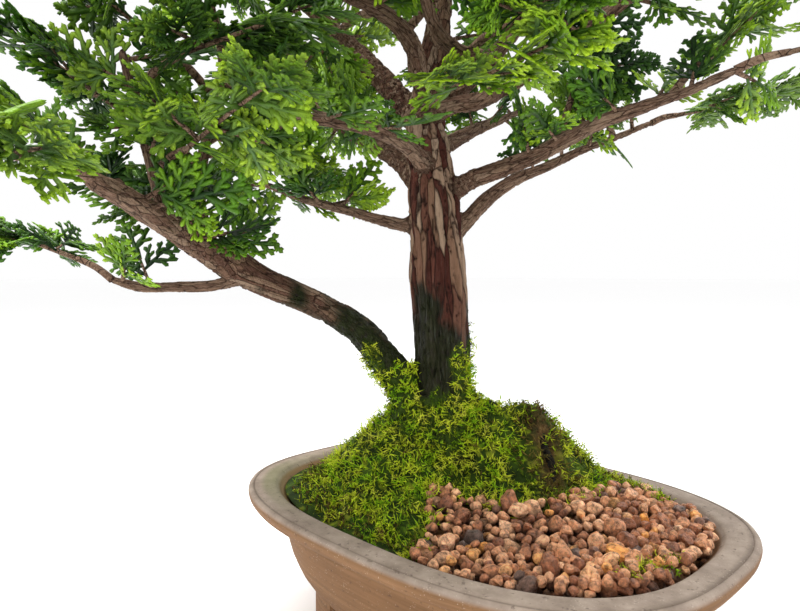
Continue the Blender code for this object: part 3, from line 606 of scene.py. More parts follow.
def ground(point):
    """Height of the ground above the table at a plan point: a mound at the tree, a heap beside it."""
    along = RIDGE_END - RIDGE_START
    share = (point - RIDGE_START).dot(along) / along.length_squared
    nearest = RIDGE_START + along * min(max(share, 0), 1)
    away = point - nearest
    distance = away.length
    toward = smooth_step(0.5 + 0.5 * away.dot(OPEN_SIDE) / (distance + OPEN_BLEND))
    reach = LONG_REACH + (SHORT_REACH - LONG_REACH) * toward
    mound = MOUND_HEIGHT * smooth_step(1 - distance / reach)
    heap = HEAP_HEIGHT * max(1 - distance / HEAP_REACH, 0)
    wall = smooth_step((1 - wall_share(point)) / WALL_BLEND)
    return POT_HEIGHT + WALL_LEVEL + (mound + heap) * wall


def tree_to_pot(across, back, up):
    """Turn a place in the tree's frame into the pot's frame."""
    turn = math.radians(TREE_TURN)
    return Vector((across * math.cos(turn) - back * math.sin(turn),
                   across * math.sin(turn) + back * math.cos(turn), up))


def smoothed(points, steps=1):
    """A Catmull-Rom curve through the points of a limb, each (place, radius)."""
    result = []
    last = len(points) - 1
    for k in range(last):
        a, b, c, d = (points[max(k - 1, 0)], points[k], points[k + 1], points[min(k + 2, last)])
        for i in range(steps):
            t = i / steps
            weights = ((-t ** 3 + 2 * t ** 2 - t) / 2, (3 * t ** 3 - 5 * t ** 2 + 2) / 2,
                       (-3 * t ** 3 + 4 * t ** 2 + t) / 2, (t ** 3 - t ** 2) / 2)
            place = sum((p[0] * w for p, w in zip((a, b, c, d), weights)), Vector((0, 0, 0)))
            result.append((place, b[1] + (c[1] - b[1]) * t))
    result.append(points[last])
    return result


def limb_path(name):
    """The middle line of a limb in the pot's frame."""
    points = [(tree_to_pot(*point[:3]), point[3]) for point in LIMBS[name]]
    return smoothed(points, LIMB_STEPS.get(name, 1))


def point_on(path, share):
    """The place, radius and direction part-way along a path."""
    lengths = [0.0]
    for (a, _), (b, _) in zip(path, path[1:]):
        lengths.append(lengths[-1] + (b - a).length)
    wanted = share * lengths[-1]
    for k in range(1, len(path)):
        if lengths[k] >= wanted or k == len(path) - 1:
            t = (wanted - lengths[k - 1]) / (lengths[k] - lengths[k - 1])
            a, b = path[k - 1], path[k]
            return a[0].lerp(b[0], t), a[1] + (b[1] - a[1]) * t, (b[0] - a[0]).normalized()


def cubes(points):
    """The cubes of room that the points lie in."""
    return {tuple(round(c / ROOM) for c in point) for point in points}


def swollen(room):
    """The cubes and their neighbours."""
    near = (-1, 0, 1)
    return {(x + i, y + j, z + k) for x, y, z in room for i in near for j in near for k in near}


def path_points(path, skip=0.0):
    """Points on the skin of a limb, leaving out its first stretch."""
    points = []
    length = sum((b[0] - a[0]).length for a, b in zip(path, path[1:]))
    count = int(length / SKIN_STEP) + 1
    for i in range(count + 1):
        share = i / count
        if share * length < skip:
            continue
        place, radius, heading = point_on(path, share)
        side = heading.orthogonal().normalized()
        ways = max(4, int(radius * SKIN_STEP))
        for k in range(ways):
            points.append(place + Matrix.Rotation(2 * math.pi * k / ways, 3, heading) @ side * radius)
    return points


def spray_fans(foot, heading, normal, rng):
    """Where each fan of a spray sits: (foot, direction, normal, length)."""
    fans = []
    for along, swing, share in FAN_PLAN:
        turn = Matrix.Rotation(math.radians(swing + rng.uniform(-FAN_SWING, FAN_SWING)), 3, normal)
        direction = turn @ heading
        roll = Matrix.Rotation(math.radians(rng.uniform(-FAN_ROLL, FAN_ROLL)), 3, direction)
        length = FAN_LENGTH * share * rng.uniform(*FAN_SIZES)
        fans.append((foot + heading * SPRAY_STEM * along, direction, roll @ normal, length))
    return fans


def fan_bend(share):
    """How far a fan's blade rises or droops off its plane at a share of its length."""
    return FAN_BEND * (math.sin(share * math.pi) - share)


def fan_places(fan, points):
    """Points of the flat fan carried to its place on a spray."""
    foot, direction, normal, length = fan
    side = normal.cross(direction)
    return [foot + direction * along * length + side * across * length + normal * fan_bend(along)
            for along, across in points]


def fan_samples(fan):
    """Points spread over a fan, to keep its room."""
    points = []
    for i in range(3, FAN_SAMPLES + 1):
        along = i / FAN_SAMPLES
        half = FAN_WIDTH * math.sin(min(along * 1.25, 1) * math.pi * 0.72 + 0.2) + 0.02
        count = max(1, int(half * FAN_SAMPLES))
        points += [(along, half * k / count) for k in range(-count, count + 1)]
    return fan_places(fan, points)


def clear_height(point):
    """The height that foliage stays above: low far left, high at the trunk and right of it."""
    turn = math.radians(TREE_TURN)
    across = point.x * math.cos(turn) + point.y * math.sin(turn)
    share = smooth_step((across - CLEAR_FROM) / (CLEAR_TO - CLEAR_FROM))
    return CLEAR_LEFT + (CLEAR_RIGHT - CLEAR_LEFT) * share


def twig_aim(heading, side, rise, last, attempt, rng):
    """The way a twig sets off: aside from its limb, or on from its end, and freer with each try."""
    loose = LOOSE_FIRST + LOOSE_MORE * attempt / TRIES
    jitter = Vector((rng.uniform(-1, 1), rng.uniform(-1, 1), rng.uniform(-0.7, 1))) * loose
    if last:
        return (heading * LAST_AHEAD + jitter * LAST_LOOSE).normalized()
    return (heading * TWIG_AHEAD + side * TWIG_ASIDE + UP * rise + jitter).normalized()


def grow_twig(place, radius, aim, reach):
    """The middle line of a twig, which droops over its outer half."""
    start = min(radius, TWIG_START)
    middle = place + aim * reach * 0.5
    end = middle + (aim - UP * TWIG_DROOP).normalized() * reach * 0.5
    return smoothed([(place, start), (middle, (start + TWIG_END) / 2), (end, TWIG_END)])


def try_spray(place, radius, aim, reach, rng):
    """A twig and its spray: (twig, foot, heading, normal, fans)."""
    twig = grow_twig(place, radius, aim, reach)
    foot = twig[-1][0]
    heading = (foot - twig[-2][0]).normalized()
    heading = (heading + UP * rng.uniform(*SPRAY_RISE)).normalized()
    tilt = Vector((rng.uniform(-SPRAY_TILT, SPRAY_TILT), rng.uniform(-SPRAY_TILT, SPRAY_TILT), 1))
    normal = (tilt - heading * tilt.dot(heading)).normalized()
    return twig, foot, heading, normal, spray_fans(foot, heading, normal, rng)


def spray_points(foot, heading, fans):
    """Points spread over a spray's stem and fans."""
    points = path_points([(foot, SPRAY_RADIUS), (foot + heading * SPRAY_STEM, SPRAY_RADIUS)])
    for fan in fans:
        points += fan_samples(fan)
    return points


def grow_sprays():
    """Find room for every twig and its spray: a list of (name, twig, foot, heading, normal, fans)."""
    rng = random.Random(SEED)
    paths = {name: limb_path(name) for name in LIMBS}
    taken = set()
    for path in paths.values():
        taken |= swollen(cubes(path_points(path)))
    sprays = []
    for name, (count, first, rise) in SPRAYS.items():
        for k in range(count):
            last = k == count - 1
            share = 1.0 if last else first + (1 - first) * k / (count - 1)
            place, radius, heading = point_on(paths[name], share)
            side = heading.cross(UP).normalized() * (1 if k % 2 else -1)
            for attempt in range(TRIES):
                aim = twig_aim(heading, side, rise, last, attempt, rng)
                reach = TWIG_LENGTH * rng.uniform(*TWIG_RANGE) * (LAST_TWIG if last else 1)
                twig, foot, out, normal, fans = try_spray(place, radius, aim, reach, rng)
                points = spray_points(foot, out, fans)
                clear = cubes(path_points(twig, radius + 2 * ROOM) + points)
                if not clear & taken and all(p.z > clear_height(p) for p in points):
                    taken |= swollen(clear)
                    sprays.append((f"spray_{name}_{k}", twig, foot, out, normal, fans))
                    break
    return sprays


def outline(inset, steps, first=0.0, last=2 * math.pi):
    """Plan points of the pot's outline, moved in from the outer rim, as an array."""
    a = POT_LENGTH / 2 - inset
    b = POT_WIDTH / 2 - inset
    turn = first + (last - first) * np.arange(steps) / steps
    x, y = a * np.cos(turn), b * np.sin(turn)
    reach = (np.abs(x / a) ** POT_ROUNDNESS + np.abs(y / b) ** POT_ROUNDNESS) ** (-1 / POT_ROUNDNESS)
    return np.stack([x * reach, y * reach], 1)


def raised(plan, height=0.0):
    """Plan points at a height, or each at its own."""
    return np.column_stack([plan, np.broadcast_to(height, (len(plan),))])


def ring_quads(rows, steps):
    """Faces between rows of points that go all the way round."""
    low = np.arange(rows - 1)[:, None] * steps
    here = np.arange(steps)[None, :]
    there = (here + 1) % steps
    return np.stack([low + here, low + there, low + steps + there, low + steps + here], -1).reshape(-1, 4)


def noise_at(points, size, octaves, seed):
    """Fractal noise from about -1 to 1 at each point, with features of a size."""
    shift = Vector((seed, seed * 1.7, seed * 0.6))
    return np.array([noise.fractal(Vector(p) / size + shift, 1.0, 2.0, octaves) for p in points])


def unit(vectors):
    """An array of vectors, each brought to length one."""
    return vectors / np.linalg.norm(vectors, axis=1, keepdims=True)


def weld_caps(obj):
    """Close the open ends of a tube or shell, and face it outwards."""
    bm = bmesh.new()
    bm.from_mesh(obj.data)
    bmesh.ops.holes_fill(bm, edges=[e for e in bm.edges if e.is_boundary], sides=0)
    bmesh.ops.recalc_face_normals(bm, faces=bm.faces)
    bm.to_mesh(obj.data)
    bm.free()


def combine(obj, pieces, operation):
    """Fuse the pieces into the object or cut them out of it, and remove them."""
    for piece in pieces:
        step = obj.modifiers.new(piece.name, "BOOLEAN")
        step.operation = operation
        step.solver = "MANIFOLD"
        step.object = piece
    bake_modifiers(obj)
    for piece in pieces:
        bpy.data.objects.remove(piece)


def bake_modifiers(obj):
    """Give the object the mesh that its modifiers make."""
    graph = bpy.context.evaluated_depsgraph_get()
    mesh = bpy.data.meshes.new_from_object(obj.evaluated_get(graph))
    obj.modifiers.clear()
    obj.data = mesh


def clay_finish():
    """Unglazed brown clay: streaks from the turning, pale specks, a paler lip with painted shade in its
    groove, and dark stains.
    """
    clay = Finish("pot_clay", roughness=0.72, specular=0.15)
    streak = clay.noise(1.0, 6, 0.6, stretch=(14, 14, 420), bend=0.3)
    cloud = clay.noise(16, 5, 0.6)
    base = clay.ramp(streak, ((0.28, (0.202, 0.106, 0.050)), (0.5, (0.258, 0.137, 0.066)),
                              (0.72, (0.322, 0.176, 0.088))))
    warm = clay.ramp(cloud, ((0.3, (0.62, 0.60, 0.58)), (0.7, (1.0, 1.0, 1.0))))
    base = clay.mix(0.6, base, warm, "MULTIPLY")
    lip = clay.ramp(clay.attribute("lip"), ((0.2, 0.0), (0.8, 1.0)))
    # The lip is paler than the body
    pale_lip_tone = clay.ramp(clay.noise(70, 6, 0.65), ((0.3, (0.235, 0.180, 0.142)), (0.7, (0.440, 0.350, 0.286))))
    base = clay.mix(lip, base, pale_lip_tone)
    # Painted shade: a dark line in the lip's groove
    crease_shade = clay.attribute("crease_shade")
    base = clay.mix(crease_shade, base, (0.12, 0.085, 0.062))
    speck = clay.ramp(clay.cells(900), ((0.0, 1.0), (0.16, 1.0), (0.22, 0.0)))
    some = clay.ramp(clay.noise(240, 2), ((0.5, 0.0), (0.58, 1.0)))
    pale = clay.math("MULTIPLY", clay.math("MULTIPLY", speck, some), 0.55)
    base = clay.mix(pale, base, (0.62, 0.52, 0.42))
    dark = clay.ramp(clay.noise(420, 3), ((0.62, 0.0), (0.7, 1.0)))
    base = clay.mix(clay.math("MULTIPLY", dark, 0.5), base, (0.07, 0.045, 0.035))
    green = clay.attribute("green")
    base = clay.mix(green, base, (0.16, 0.17, 0.07))
    clay.colour(base)
    clay.roughness(clay.ramp(cloud, ((0.2, 0.62), (0.8, 0.85))))
    grain = clay.math("ADD", clay.math("MULTIPLY", clay.noise(1500, 4), 0.6), streak)
    clay.bump(grain, 0.00045, 0.55)
    return clay.mat


def make_foot(number):
    """One of the pot's corner feet: a stretch of a lower, bevelled ring."""
    side = 1 if number % 2 == 0 else -1
    middle = math.radians(90 * number + 45 + side * (FOOT_MIDDLE - 45))
    first, last = middle - math.radians(FOOT_SPREAD), middle + math.radians(FOOT_SPREAD)
    last += (last - first) / FOOT_STEPS
    high = POT_HEIGHT - UNDERSIDE_DEPTH + FOOT_SINK
    outer = ((0.0, high), (0.0, FOOT_CORNER), (FOOT_BEVEL, FOOT_BEVEL), (FOOT_CORNER, 0.0))
    section = outer + tuple((FOOT_WALL - depth, up) for depth, up in reversed(outer))
    lines = [raised(outline(FOOT_OUTER_INSET + depth, FOOT_STEPS + 1, first, last), up)
             for depth, up in section]
    foot = build(f"foot_{number}", np.stack(lines, 1), ring_quads(FOOT_STEPS + 1, len(section)))
    weld_caps(foot)
    return foot


def drain_tool(middle):
    """A round rod through the pot's floor."""
    bm = bmesh.new()
    bmesh.ops.create_cone(bm, cap_ends=True, segments=DRAIN_WAYS, radius1=DRAIN_RADIUS * MM,
                          radius2=DRAIN_RADIUS * MM, depth=POT_HEIGHT * MM)
    bmesh.ops.translate(bm, vec=place((middle, 0, 0)), verts=bm.verts)
    mesh = bpy.data.meshes.new("drain")
    bm.to_mesh(mesh)
    bm.free()
    return add_object("drain", mesh)


def make_pot():
    """The fine pot: a lofted shell with a flat lip, four feet and two drain holes."""
    profile = POT_OUTSIDE + POT_LIP + POT_INSIDE
    rows = [raised(outline(inset, POT_STEPS), POT_HEIGHT + up) for inset, up in profile]
    shell = build("pot_body", np.concatenate(rows), ring_quads(len(profile), POT_STEPS))
    weld_caps(shell)
    combine(shell, [make_foot(k) for k in range(4)], "UNION")
    combine(shell, [drain_tool(side * DRAIN_PLACE) for side in (-1, 1)], "DIFFERENCE")
    mesh = shell.data
    points, _ = skin_points(shell)
    up = points[:, 2] - POT_HEIGHT
    inset = wall_inset(points)
    lip = rise(up, *LIP_RISE) * rise(inset, *LIP_EDGE)
    # Painted shade along the groove near the lip's outer edge
    crease_shade = np.exp(-((inset - CREASE_INSET) / CREASE_SIZE) ** 2) * (up > -1)
    away = np.hypot(points[:, 0] - STAIN[0], points[:, 1] - STAIN[1])
    green = np.exp(-(away / STAIN_SIZE) ** 2) * rise(up, *STAIN_RISE) * (inset > 6) * STAIN_SHARE
    wobble = noise_at(points * np.array([1, 1, 3]), *POT_NOISE) * POT_WOBBLE
    outward = points[:, :2] / np.maximum(np.linalg.norm(points[:, :2], axis=1, keepdims=True), 1)
    bowl = rise(inset, *BOWL_EDGE) * (up < -9)
    points[:, :2] -= outward * (np.abs(wobble) * bowl)[:, None]
    mesh.vertices.foreach_set("co", metres(points).ravel())
    keep_values(mesh, {"lip": lip, "crease_shade": crease_shade * CREASE_DARK, "green": green})
    mesh.materials.clear()
    mesh.materials.append(clay_finish())
    mesh.polygons.foreach_set("use_smooth", np.full(len(mesh.polygons), True))
    mesh.set_sharp_from_angle(angle=math.radians(SHARP_ANGLE))
    dress(shell, "clay", "pot")


def ground_at(points):
    """Height of the ground at many plan points."""
    return np.array([ground(Vector((x, y))) for x, y in points])


def edge_distance(points):
    """How far each plan point is inside the moss, negative on the gravel."""
    edge = np.array(MOSS_EDGE, float)
    nearest = np.full(len(points), 1e9)
    inside = np.zeros(len(points), bool)
    for a, b in zip(edge, np.roll(edge, -1, 0)):
        along = b - a
        t = np.clip(((points - a) @ along) / (along @ along), 0, 1)
        nearest = np.minimum(nearest, np.linalg.norm(points - (a + t[:, None] * along), axis=1))
        crosses = (a[1] > points[:, 1]) != (b[1] > points[:, 1])
        with np.errstate(divide="ignore", invalid="ignore"):
            x = a[0] + along[0] * (points[:, 1] - a[1]) / along[1]
        inside ^= crosses & (points[:, 0] < x)
    return np.where(inside, nearest, -nearest)


def oval(points, inset):
    """Below 1 inside the pot's outline moved in by an inset, and above 1 outside it."""
    a, b = POT_LENGTH / 2 - inset, POT_WIDTH / 2 - inset
    return np.abs(points[:, 0] / a) ** POT_ROUNDNESS + np.abs(points[:, 1] / b) ** POT_ROUNDNESS


def wall_inset(points):
    """How far inside the pot's outer rim each plan point is, in millimetres."""
    return (1 - oval(points, 0) ** (1 / POT_ROUNDNESS)) * (POT_WIDTH / 2)


def clear_of_wall(points, gap):
    """Whether each plan point is at least a gap inside the pot's outer rim."""
    return oval(points, gap) < 1


def moss_top(points):
    """Height of the moss's own surface at plan points."""
    flat = raised(points)
    lumps = noise_at(flat, *LUMP_NOISE) * LUMP_HEIGHT + noise_at(flat, *FINE_LUMP_NOISE) * FINE_LUMP_HEIGHT
    ease = np.clip((wall_inset(points) - 18) / 12, 0.15, 1)
    away = np.linalg.norm(points - np.array(SHOULDER), axis=1) / SHOULDER_SIZE
    return ground_at(points) + lumps * ease + SHOULDER_HEIGHT * np.exp(-away ** 2)


def moss_finish():
    """Moss from near black in its hollows, which is painted shade, to yellow-green on its tips, and brown
    where bare or dead.
    """
    moss = Finish("moss", roughness=0.75, specular=0.12)
    tips = moss.attribute("tip")
    # The near-black low tones are painted shade: the cushion between the strands and the strands' feet take
    # them
    low = moss.ramp(moss.noise(60, 4, 0.6), ((0.3, (0.008, 0.015, 0.003)), (0.55, (0.034, 0.066, 0.007)),
                                             (0.75, (0.090, 0.150, 0.014))))
    high = moss.ramp(moss.noise(95, 5, 0.7), ((0.28, (0.130, 0.400, 0.010)), (0.43, (0.400, 0.720, 0.020)),
                                              (0.52, (0.800, 0.930, 0.040)), (0.68, (0.960, 0.950, 0.130))))
    green = moss.mix(moss.ramp(tips, ((0.17, 0.0), (0.55, 1.0))), low, high)
    brown = moss.ramp(moss.noise(300, 3), ((0.35, (0.045, 0.022, 0.010)), (0.6, (0.190, 0.092, 0.040)),
                                           (0.75, (0.420, 0.250, 0.110))))
    moss.colour(moss.mix(moss.attribute("bare"), green, brown))
    moss.bump(moss.noise(900, 4, 0.7), 0.0012, 0.8)
    return moss.mat


def hollow_share(plan, spread=1.0):
    """How near each plan point is to the dark hollow in the mound's right shoulder."""
    turned_away = (plan - np.array(HOLLOW)) @ np.array(HOLLOW_AXES)
    away = turned_away / (np.array(HOLLOW_SIZE) * spread)
    return np.exp(-(away ** 2).sum(1))


def make_moss(mat):
    """The moss's own body: the mound's skin, sunk under the gravel where it ends."""
    rim = outline(MOSS_INSET, MOSS_STEPS)
    shares = (np.arange(MOSS_ROWS) + 0.4) / (MOSS_ROWS - 0.6)
    plan = (shares[:, None, None] * rim[None]).reshape(-1, 2)
    top = moss_top(plan) - HOLLOW_DEPTH * hollow_share(plan)
    cover = rise(edge_distance(plan), *MOSS_COVER)
    cover = cover * cover * (3 - 2 * cover)
    skin = raised(plan, top * cover + (ground_at(plan) - MOSS_SUNK) * (1 - cover))
    floor = raised(outline(MOSS_FLOOR_INSET, MOSS_STEPS), POT_HEIGHT - MOSS_FLOOR_DEPTH)
    points = np.concatenate([skin, floor])
    bare = np.maximum(1 - cover, 0.8 * hollow_share(plan, 1.5))
    # The cushion's tip value stays low, so it takes the dark low tones as painted shade between the strands
    values = {"tip": np.clip(0.12 + 0.4 * noise_at(points, *CUSHION_NOISE), 0.0, 0.28),
              "bare": np.concatenate([bare, np.ones(MOSS_STEPS)])}
    obj = build("moss_cushion", points, ring_quads(MOSS_ROWS + 1, MOSS_STEPS), mat=mat, values=values)
    weld_caps(obj)
    dress(obj, "moss", "moss")


def three_ways(headings, rng):
    """Three directions evenly round each heading, square to it."""
    side = unit(np.cross(headings, rng.normal(size=headings.shape)))
    other = np.cross(headings, side)
    turns = [2 * math.pi * k / 3 for k in range(3)]
    return [side * math.cos(turn) + other * math.sin(turn) for turn in turns]


def strands(heap, roots, headings, lengths, widths, rng, tips, dead):
    """Bent three-sided strands of moss, each from a root along a heading."""
    count = len(roots)
    headings = unit(headings)
    ways = three_ways(headings, rng)
    bend = rng.normal(size=(count, 3)) * STRAND_BEND
    bend[:, 2] -= STRAND_DROOP
    middle = roots + headings * lengths[:, None] * STRAND_MIDDLE
    points = np.zeros((count, 7, 3))
    for k, out in enumerate(ways):
        points[:, k] = roots + out * widths[:, None] * 0.35
        points[:, 3 + k] = middle + out * widths[:, None] * 0.55
    points[:, 6] = middle + (headings + bend) * lengths[:, None] * STRAND_TIP
    start = np.arange(count)[:, None] * 7
    sides = ((0, 1), (1, 2), (2, 0))
    quads = np.concatenate([start + np.array([a, b, 3 + b, 3 + a]) for a, b in sides])
    tris = np.concatenate([start + np.array([3 + a, 3 + b, 6]) for a, b in sides]
                          + [start + np.array([2, 1, 0])])
    # Darker towards each strand's foot: painted shade deep in the mat
    foot, waist, tip = [low + more * tips for low, more in STRAND_SHADES]
    shade = np.column_stack([foot] * 3 + [waist] * 3 + [tip])
    heap.add(points, quads, tris, tip=np.clip(shade, 0, 1).ravel(), bare=np.repeat(dead, 7))


def leaves(heap, roots, headings, lengths, rng, tips, dead):
    """Small pointed leaves that stand out from the strands."""
    owner = np.repeat(np.arange(len(roots)), STRAND_LEAVES)
    share = np.tile(np.linspace(*LEAF_RANGE, STRAND_LEAVES), len(roots))[:, None]
    along = unit(headings[owner])
    foot = roots[owner] + along * lengths[owner][:, None] * share
    way = unit(along * LEAF_AHEAD + rng.normal(size=foot.shape) * LEAF_ASIDE)
    ways = three_ways(way, rng)
    reach = lengths[owner] * rng.uniform(*LEAF_REACH, len(owner))
    feet = [foot + out * LEAF_WIDTH for out in ways]
    points = np.stack(feet + [foot + way * reach[:, None]], 1)
    start = np.arange(len(owner))[:, None] * 4
    corners = ((0, 1, 3), (1, 2, 3), (2, 0, 3), (2, 1, 0))
    tris = np.concatenate([start + np.array(three) for three in corners])
    low, high = [base + more * tips[owner] for base, more in LEAF_SHADES]
    shade = np.column_stack([low] * 3 + [high])
    heap.add(points, (), tris, tip=np.clip(shade, 0, 1).ravel(), bare=np.repeat(dead[owner], 4))


def leafy_strands(heap, roots, headings, lengths, rng, tips, dead, sunk=0.0):
    """Strands with their leaves; the strands' feet may be sunk from the leaves' roots."""
    strands(heap, roots - sunk, headings, lengths, rng.uniform(*STRAND_WIDTHS, len(roots)), rng, tips, dead)
    leaves(heap, roots, headings, lengths, rng, tips, dead)


def strand_lengths(rule, tuft, rng):
    """Lengths by a rule of (middle, more in a lush tuft, loose range, bounds)."""
    middle, more, loose, bounds = rule
    return (middle + more * tuft + rng.uniform(*loose, len(tuft))).clip(*bounds)


def mound_strands(heap, rng):
    """Leafy strands all over the mound, shorter by the wall and some of them dead."""
    half = np.array([POT_LENGTH, POT_WIDTH]) / 2
    plan = rng.uniform(-half, half, (8 * STRAND_COUNT, 2))
    patch = noise_at(raised(plan), *FRINGE_NOISE)
    keep = edge_distance(plan) > -3.5 + 5 * patch + 3 * rng.random(len(plan))
    keep &= wall_inset(plan) > STRAND_GAP
    keep &= rng.random(len(plan)) < 1 - HOLLOW_BARE * hollow_share(plan)
    keep &= (patch > -0.38) | (rng.random(len(plan)) < 0.5)
    plan = plan[keep][:STRAND_COUNT]
    top = moss_top(plan)
    slopes = [(moss_top(plan + SLOPE_STEP * way) - top) / SLOPE_STEP for way in np.eye(2)]
    normal = unit(np.column_stack([-slopes[0], -slopes[1], np.ones(len(plan))]))
    roots = raised(plan, top - SINK - HOLLOW_DEPTH * hollow_share(plan))
    heading = normal * 0.7 + rng.normal(size=roots.shape) * 0.5
    tuft = noise_at(roots, *TUFT_NOISE)
    lengths = strand_lengths(MOUND_LENGTHS, tuft, rng)
    near_wall = wall_inset(plan) < WALL_NEAR
    lengths[near_wall] *= WALL_SHORT
    heading[near_wall, :2] -= plan[near_wall] * 0.006
    broad = noise_at(roots, *BROAD_NOISE)
    tips = np.clip(0.5 + 1.1 * tuft + 1.1 * broad + rng.uniform(-0.4, 0.55, len(roots)), 0, 1)
    litter = RIM_LITTER * rise(wall_inset(plan), *LITTER_RISE)
    dead = np.where(rng.random(len(roots)) < 0.04 + 0.95 * hollow_share(plan, 2.3) + litter, 0.9, 0.0)
    leafy_strands(heap, roots, heading, lengths, rng, tips, dead)


def trunk_strands(heap, wood, rng):
    """Leafy strands up the foot of both trunks, where the bark is mossy."""
    points, normals = skin_points(wood)
    grown = np.zeros(len(points))
    wood.data.attributes["mossy"].data.foreach_get("value", grown)
    lush = (grown > CLIMB_FROM) & (points[:, 2] > CLIMB_ABOVE)
    chosen = np.flatnonzero(lush & (grown * CLIMB_SHARE > rng.random(len(grown))))
    points, normals, grown = points[chosen], normals[chosen], grown[chosen]
    heading = normals * 0.75 + rng.normal(size=points.shape) * 0.5 + np.array([0, 0, 0.15])
    tuft = noise_at(points, *TRUNK_TUFT_NOISE)
    lengths = strand_lengths(TRUNK_LENGTHS, tuft, rng) * (0.45 + 0.55 * grown)
    tips = np.clip(0.42 + 1.3 * tuft + rng.uniform(-0.45, 0.5, len(points)), 0, 1)
    leafy_strands(heap, points, heading, lengths, rng, tips, np.zeros(len(points)), normals * 0.4)


def rim_strands(heap, rng):
    """Loose tufts between the grains along the rim."""
    beds = np.repeat(np.array(LOOSE_TUFTS, float), TUFT_STRANDS, 0)
    spots = beds + rng.normal(size=beds.shape) * TUFT_SPREAD
    spots = spots[clear_of_wall(spots, STRAND_GAP)]
    roots = raised(spots, ground_at(spots) + TUFT_LIFT)
    heading = rng.normal(size=roots.shape) * 0.6 + np.array([0, 0, 0.8])
    lengths = rng.uniform(2.0, 4.6, len(roots))
    tips = rng.uniform(0.1, 1.0, len(roots))
    dead = np.where(rng.random(len(roots)) < 0.3, 0.9, 0.0)
    leafy_strands(heap, roots, heading, lengths, rng, tips, dead)


def make_moss_strands(mat, wood):
    """Leafy strands over the mound, up the foot of both trunks and in tufts along the rim."""
    rng = np.random.default_rng(SEED)
    heap = Heap()
    mound_strands(heap, rng)
    trunk_strands(heap, wood, rng)
    rim_strands(heap, rng)
    dress(heap.build("moss_strands", mat), "moss", "moss")


def skin_points(obj):
    """An object's points and normals in the pot's millimetres, as arrays."""
    mesh = obj.data
    points, normals = np.zeros(len(mesh.vertices) * 3), np.zeros(len(mesh.vertices) * 3)
    mesh.vertices.foreach_get("co", points)
    mesh.vertex_normals.foreach_get("vector", normals)
    return (points.reshape(-1, 3) - np.array(POT_CENTRE)) / MM, normals.reshape(-1, 3)


def make_old_root(mat):
    """A dark, dead stub of surface root that lies in the hollow."""
    heap = Heap()
    path = []
    for k in range(ROOT_POINTS):
        share = k / (ROOT_POINTS - 1)
        along = (share - 0.5) * ROOT_REACH * HOLLOW_SIZE[0]
        swerve = ROOT_SWERVE * math.sin(share * 7)
        x, y = [middle + axis[0] * along - axis[1] * swerve for middle, axis in zip(HOLLOW, HOLLOW_AXES)]
        up = moss_top(np.array([[x, y]]))[0] - HOLLOW_DEPTH + 1.2 - 2.2 * (2 * share - 1) ** 4
        radius = 1.3 + 1.1 * math.sin(share * math.pi) + 0.4 * math.sin(share * 19)
        path.append((Vector((x, y, up)), radius))
    add_tube(heap, smoothed(path, 3), ROOT_TUBE_WAYS, crack=0.3, wet=0.8, mossy=0.0, young=0.0)
    dress(keep_grain(heap, "old_root", mat), "bark", "moss")


def gravel_finish():
    """Fired-clay grains: nearly all red-brown, a few orange or grey, all rough, pitted and moist, with
    painted shade under each grain and on grains low in the heap, and painted light on their tops.
    """
    stone = Finish("gravel", roughness=0.6, specular=0.5)
    own = stone.attribute("kind")
    base = stone.ramp(own, ((0.0, (0.150, 0.105, 0.085)), (0.06, (0.270, 0.100, 0.048)),
                            (0.3, (0.440, 0.180, 0.086)), (0.6, (0.660, 0.310, 0.155)),
                            (0.92, (0.860, 0.480, 0.270)), (0.98, (0.860, 0.400, 0.125)),
                            (1.0, (0.820, 0.320, 0.060))))
    # Painted shade and light by the grains' top value: darker on each grain's underside and on grains low
    # in the heap, brighter on their tops
    damp_and_painted_light = stone.ramp(stone.attribute("top"), ((0.20, 0.03), (0.52, 0.36), (0.86, 1.36)))
    base = stone.tint(base, damp_and_painted_light)
    patch = stone.ramp(stone.noise(420, 6, 0.7), ((0.34, 0.24), (0.5, 0.92), (0.66, 1.65)))
    stone.colour(stone.tint(base, patch))
    stone.roughness(stone.ramp(stone.noise(300, 3), ((0.35, 0.20), (0.65, 0.62))))
    stone.bump(stone.noise(900, 6, 0.75), 0.0013, 1.0)
    return stone.mat


def icosphere(steps):
    """A ball's points and faces."""
    bm = bmesh.new()
    bmesh.ops.create_icosphere(bm, subdivisions=steps, radius=1)
    ball = np.array([v.co for v in bm.verts])
    faces = np.array([[v.index for v in f.verts] for f in bm.faces])
    bm.free()
    return ball, faces


def grain_form(ball, rng):
    """A lumpy, broken grain one unit in radius, from a ball's points."""
    form = ball * rng.uniform(0.78, 1.18, 3)
    for _ in range(GRAIN_CUTS):
        axis = rng.normal(size=3)
        axis /= np.linalg.norm(axis)
        over = form @ axis - rng.uniform(0.52, 0.86)
        form = form - np.outer(np.maximum(over, 0) * 0.97, axis)
    shift = Vector((rng.uniform(0, 90), 0, 0))
    rough = np.array([noise.fractal(Vector(p) * 2.3 + shift, 0.7, 2.2, 4) for p in ball])
    return form * (1 + GRAIN_ROUGH * rough)[:, None]


